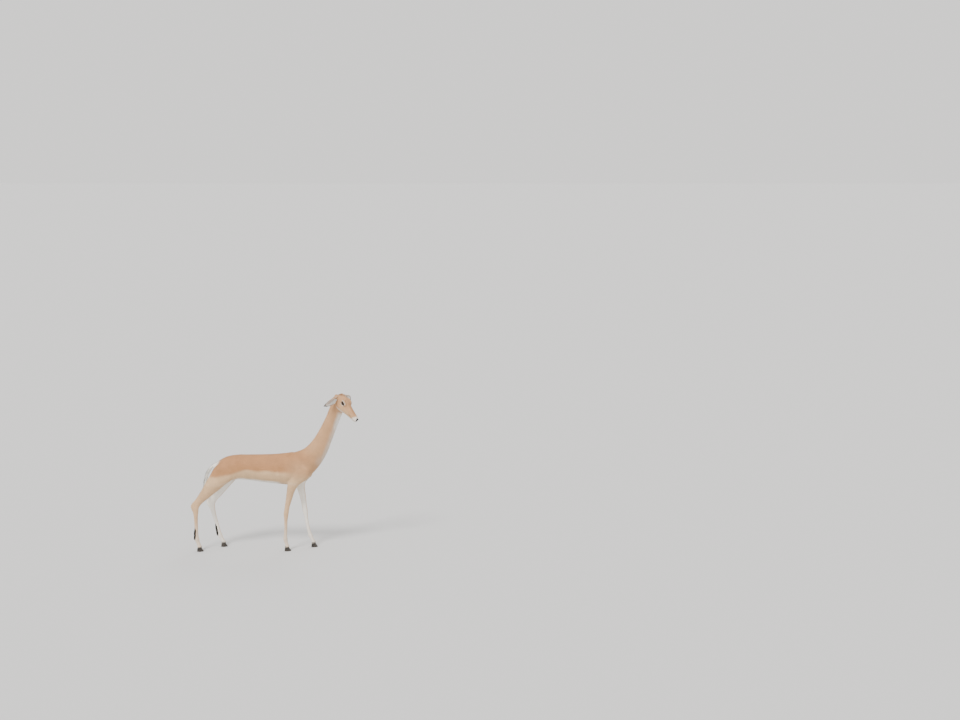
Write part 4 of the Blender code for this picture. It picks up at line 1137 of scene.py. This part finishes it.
def head_lie(points, normals):
    """The way the hairs point on the head: back from the nose, then down the neck."""
    _, y, z = seen_from(HEAD, points).T
    lie = np.tile(np.array([-1.0, 0.0, 0.0]), (len(points), 1))
    lie[:, 2] -= 0.35 * fade(-0.03, -0.08, z)
    lie[:, 1] += np.sign(y) * 0.25 * fade(0.01, 0.03, np.abs(y)) * fade(-0.02, 0.0, z)
    in_world = lie @ np.array(HEAD)[:3, :3].T
    return blend(in_world, -HAIR_SLOPE, fade(0.05, -0.01, neck_end(points)))


def high(p):
    """0 on the shanks and 1 on the trunk."""
    return fade(0.30, 0.62, p[:, 2])


def upper(p):
    """0 on the trunk and 1 on the neck."""
    return fade(0.86, 0.98, p[:, 2])


def fore(p):
    """0 at the back of the head and 1 on the face."""
    return fade(0.02, 0.16, seen_from(HEAD, p)[:, 0]) * fade(0.0, 0.06, neck_end(p))


def body_density(p):
    return (40000 + 34000 * high(p) + 30000 * upper(p)
            + 8000 * fade(0.3, 0.1, p[:, 2]))


def on_body(p, n):
    """Off the hooves, and off the rim that the head's skin covers."""
    end = neck_end(p)
    return (end < -0.004) & (p[:, 2] > 0.030) & ((n @ NECK_UP < 0.35) | (end < -0.030))


def on_tail(p):
    x, y, z = (p - SHIFT).T
    return (x < -0.362) & (z > 0.49) & (z < 0.735) & (np.abs(y) < 0.024)


def on_shank_tuft(p):
    """The ragged patch behind each hind shank."""
    chosen = np.zeros(len(p), dtype=bool)
    for name in HIND_LEGS:
        at_x, at_y = leg_middle(name, p[:, 2])
        near = np.hypot(at_x - p[:, 0], at_y - p[:, 1]) < 0.05
        chosen |= near & (at_x - p[:, 0] > 0.004 + 0.003 * noise(p, 260, 8))
    ragged = 0.006 * noise(p, 200, 9)
    return chosen & (p[:, 2] > 0.135) & (p[:, 2] < 0.202 + ragged)


def off_bare(p, n):
    """Off the lids, eyes, nose, lips and the part of the neck that the body's skin has."""
    local = seen_from(HEAD, p)
    clear = neck_end(p) > -0.020
    for side, _ in SIDES:
        eye = seen_from(eye_matrix(side), p)
        rim = eye_ring(eye - [0.0012, 0, 0], EYE_OPENING[0] + 0.0062, EYE_OPENING[1] + 0.0032)
        clear &= ~((eye[:, 2] > 0) & (rim < 1.0) & (eye[:, 2] < 0.03))
        clear &= np.linalg.norm(eye, axis=1) > EYE_RADIUS + 0.0006
    nose = nose_share(local, 0.0) > 0.4
    slit = (np.abs(local[:, 2] - mouth_line(local[:, 0])) < 0.0016) & (local[:, 0] > 0.20)
    return clear & ~nose & ~slit


def at(value, points):
    """A number, or what a function gives, at each point."""
    return value(points) if callable(value) else np.full(len(points), float(value))


Skin = namedtuple("Skin", "points normals colours groups")


class Coat:
    """Grows tufts on the skin, all from one run of random draws."""

    def __init__(self, skin, material):
        self.skin = skin
        self.material = material
        self.rng = np.random.default_rng(SEED)

    def grow(self, name, group, density, lie_of, hair, lift, keep, colour=None):
        """Grow tufts on a group of the skin's triangles, in pieces of a limited size."""
        skin, rng = self.skin, self.rng
        triangles, uv = skin.groups[group]
        which, weights = sample_roots(skin.points, triangles, density, rng)
        roots, normal, tone = ((values[triangles[which]] * weights).sum(axis=1)
                               for values in (skin.points, skin.normals, skin.colours))
        spots = (uv[which] * weights).sum(axis=1)
        normal /= np.linalg.norm(normal, axis=1)[:, None]
        if colour is not None:
            tone = np.tile(colour, (len(roots), 1))
        chosen = keep(roots, normal)
        roots, normal, tone, spots = (part[chosen] for part in (roots, normal, tone, spots))
        length, width = (at(size, roots) for size in hair)
        vary = rng.uniform(*SIZE_RANGE, len(roots))
        lifts = at(lift, roots) * rng.uniform(*LIFT_RANGE, len(roots))
        lie = lie_of(roots, normal) + rng.normal(0, TUFT_STRAY, roots.shape)
        grown = (roots, normal, lie, length * vary, width * vary, lifts, tone, spots)
        pieces = max(1, math.ceil(len(roots) / TUFTS_IN_PIECE))
        for i in range(pieces):
            share = [part[i::pieces] for part in grown]
            made = tufts("%s_%d" % (name, i + 1), *share, self.material, rng)
            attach(made, "root")


def make_skin(material):
    """The skin of body, head and ears as one piece, and what the coat grows on."""
    parts = [triangulated(body_skin()), triangulated(head_skin())]
    parts += [triangulated(ear(side)) for side, _ in SIDES]
    bounds = np.cumsum([0] + [len(part.data.polygons) for part in parts])
    skin = merged("skin", parts)
    unwrap(skin)
    mesh = skin.data
    mesh.materials.append(material)
    mesh.shade_smooth()
    points, normals = vertices_of(mesh), normals_of(mesh)
    triangles = rows_of(mesh.loops, "vertex_index", 1, np.int64).reshape(-1, 3)
    uv = rows_of(mesh.uv_layers["OFBake"].data, "uv", 2).reshape(-1, 3, 2)
    colours, wet = np.zeros((len(points), 3)), np.zeros(len(points))
    groups = []
    for i, (first, last) in enumerate(zip(bounds, bounds[1:])):
        group = in_order(points, triangles[first:last], uv[first:last])
        used = np.unique(group[0])
        if i == 0:
            colours[used] = body_colour(points[used], normals[used])
        elif i == 1:
            colours[used], wet[used] = head_colour(points[used], normals[used])
        else:
            colours[used] = ear_colour(points[used], SIDES[i - 2][0])[0]
        groups.append(group)
    set_colour(mesh, colours)
    mesh.attributes.new("wet", "FLOAT", "POINT").data.foreach_set("value", wet)
    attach(skin, "root")
    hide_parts("torso", "neck", "head", "ear_right", "ear_left", "tail",
                "foreleg_right", "foreleg_left", "hindleg_right", "hindleg_left",
                "hindshank_right", "hindshank_left")
    return Skin(points, normals, colours, groups)


def make_coat(coat):
    """The coat of the body, tail, shanks and head, in this order."""
    coat.grow("coat_body", 0, body_density, body_lie,
              (lambda p: 0.0065 + 0.0070 * high(p) - 0.0030 * upper(p),
               lambda p: 0.0012 + 0.0007 * high(p) - 0.0004 * upper(p)),
              lambda p: 0.10 + 0.03 * high(p), on_body)
    coat.grow("coat_tail", 0, lambda p: TAIL_DENSITY * on_tail(p), body_lie,
              (lambda p: 0.030 + 0.030 * fade(0.74, 0.62, p[:, 2]), TAIL_WIDTH),
              LONG_LIFT, lambda p, n: on_tail(p) & (np.abs(n[:, 2]) < 0.72))
    coat.grow("coat_tuft", 0, lambda p: SHANK_DENSITY * on_shank_tuft(p), body_lie,
              SHANK_HAIR, LONG_LIFT, lambda p, n: on_shank_tuft(p), BLACK)
    coat.grow("coat_head", 1, HEAD_DENSITY, head_lie,
              (lambda p: 0.0085 - 0.0045 * fore(p), lambda p: 0.0013 - 0.0004 * fore(p)),
              HEAD_LIFT, off_bare)


def make_lashes(coat, side, label):
    """Lashes along the edge of an upper lid."""
    def on_lid(p):
        eye = seen_from(eye_matrix(side), p)
        rim = eye_ring(eye, *EYE_OPENING)
        return ((eye[:, 2] > 0.0115) & (eye[:, 2] < 0.030) & (rim > 0.99) & (rim < 1.10)
                & (-side * eye[:, 1] > 0.0035) & (np.abs(eye[:, 0]) < 0.0130))

    centre = np.array(HEAD @ mirrored(EYE_CENTRE, side))
    coat.grow("coat_lash_" + label, 1, lambda p: LASH_DENSITY * on_lid(p),
              lambda p, n: (p - centre) * 80, LASH_HAIR, LASH_LIFT, lambda p, n: on_lid(p), BLACK)


def make_ear_coat(coat, group, side, label):
    """Short hair all over an ear, and long hair in its cup."""
    axis = np.array((HEAD.to_3x3() @ mirrored(EAR_AXIS, side)).normalized())

    def along_ear(p):
        return seen_from(ear_matrix(side), p)[:, 0] / EAR_LENGTH

    def to_tip(p, n):
        return np.tile(axis, (len(p), 1))

    def in_cup(p, n):
        along = along_ear(p)
        return (ear_colour(p, side)[1] > 0.5) & (along > 0.12) & (along < 0.62)

    coat.grow("coat_ear_" + label, group, EAR_DENSITY, to_tip,
              (lambda p: 0.0030 + 0.0022 * fade(0.1, 0.3, along_ear(p)), EAR_WIDTH),
              EAR_LIFT, lambda p, n: along_ear(p) > 0.10)
    coat.grow("coat_cup_" + label, group, CUP_DENSITY, to_tip, CUP_HAIR, CUP_LIFT, in_cup)


def make_claws():
    """The two claws of each hoof, smoothed."""
    horn = horn_material()
    for foot in ("forehoof_right", "forehoof_left", "hindhoof_right", "hindhoof_left"):
        for claw in ("a", "b"):
            name = "%s_%s" % (foot, claw)
            made = relax(remeshed(node_copy(name, grow=0.0), CLAW_VOXEL), CLAW_ROUNDS)
            spots = vertices_of(made.data)
            spots[:, 2] = np.maximum(spots[:, 2], 0.0)
            set_vertices(made.data, spots)
            made.name = "horn_" + name
            made.data.materials.clear()
            made.data.materials.append(horn)
            made.data.shade_smooth()
            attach(made, "root")
            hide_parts(name)


def make_eyes():
    """The eyeballs, each with a cornea that stands out a little."""
    gloss = eye_material()
    for side, label in SIDES:
        form = bmesh.new()
        bmesh.ops.create_uvsphere(form, u_segments=64, v_segments=48, radius=EYE_RADIUS)
        for vertex in form.verts:
            away = math.hypot(vertex.co.x, vertex.co.y)
            if vertex.co.z > 0 and away < CORNEA_REACH:
                vertex.co.z += CORNEA_RISE * math.cos(away / CORNEA_REACH * math.pi / 2) ** 2
        made = object_of("eyeball_" + label, form)
        made.matrix_world = level_eye_matrix(side)
        made.data.materials.append(gloss)
        made.data.shade_smooth()
        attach(made, "root")
        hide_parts("eye_" + label)


def make_stage():
    """A plain pale floor, soft light and the camera at the photograph's angle."""
    scene = bpy.context.scene
    form = bmesh.new()
    bmesh.ops.create_grid(form, x_segments=2, y_segments=2, size=400.0)
    floor = object_of("floor", form)
    pale, _, shader = new_material("floor")
    set_inputs(shader, {"Base Color": (0.637, 0.640, 0.644, 1), "Roughness": 0.9})
    floor.data.materials.append(pale)
    world = bpy.data.worlds.new("studio")
    scene.world = world
    world.use_nodes = True
    set_inputs(world.node_tree.nodes["Background"],
               {"Color": (1.0, 0.985, 0.965, 1), "Strength": 1.20})
    for name, spot, angle, power, tone in (
            ("key", (-2.4, -4.2, 5.4), 16, 2.60, (1.0, 0.975, 0.94)),
            ("back", (1.6, 4.2, 4.4), 30, 0.50, (1.0, 0.99, 0.97))):
        lamp = bpy.data.lights.new(name, "SUN")
        lamp.angle = math.radians(angle)
        lamp.energy = power
        lamp.color = tone
        made = linked(name, lamp)
        made.location = spot
        made.rotation_euler = (-Vector(spot)).to_track_quat("-Z", "Y").to_euler()
    camera = bpy.data.cameras.new("camera")
    camera.lens = 50.0
    camera.sensor_width = 36.0
    camera.clip_end = 1000.0
    made = linked("camera", camera)
    back = Vector((0, -math.cos(CAMERA_ELEVATION), math.sin(CAMERA_ELEVATION)))
    target = Vector((CAMERA_TARGET[0] + SHIFT[0], *CAMERA_TARGET[1:]))
    made.location = target + back * CAMERA_DISTANCE
    made.rotation_euler = (-back).to_track_quat("-Z", "Y").to_euler()
    scene.camera = made


fur = coat_material()
coat_of_hair = Coat(make_skin(fur), fur)
make_coat(coat_of_hair)
for eye_side, eye_label in SIDES:
    make_lashes(coat_of_hair, eye_side, eye_label)
for ear_group, (ear_side, ear_label) in enumerate(SIDES, start=2):
    make_ear_coat(coat_of_hair, ear_group, ear_side, ear_label)
make_claws()
make_eyes()
make_stage()
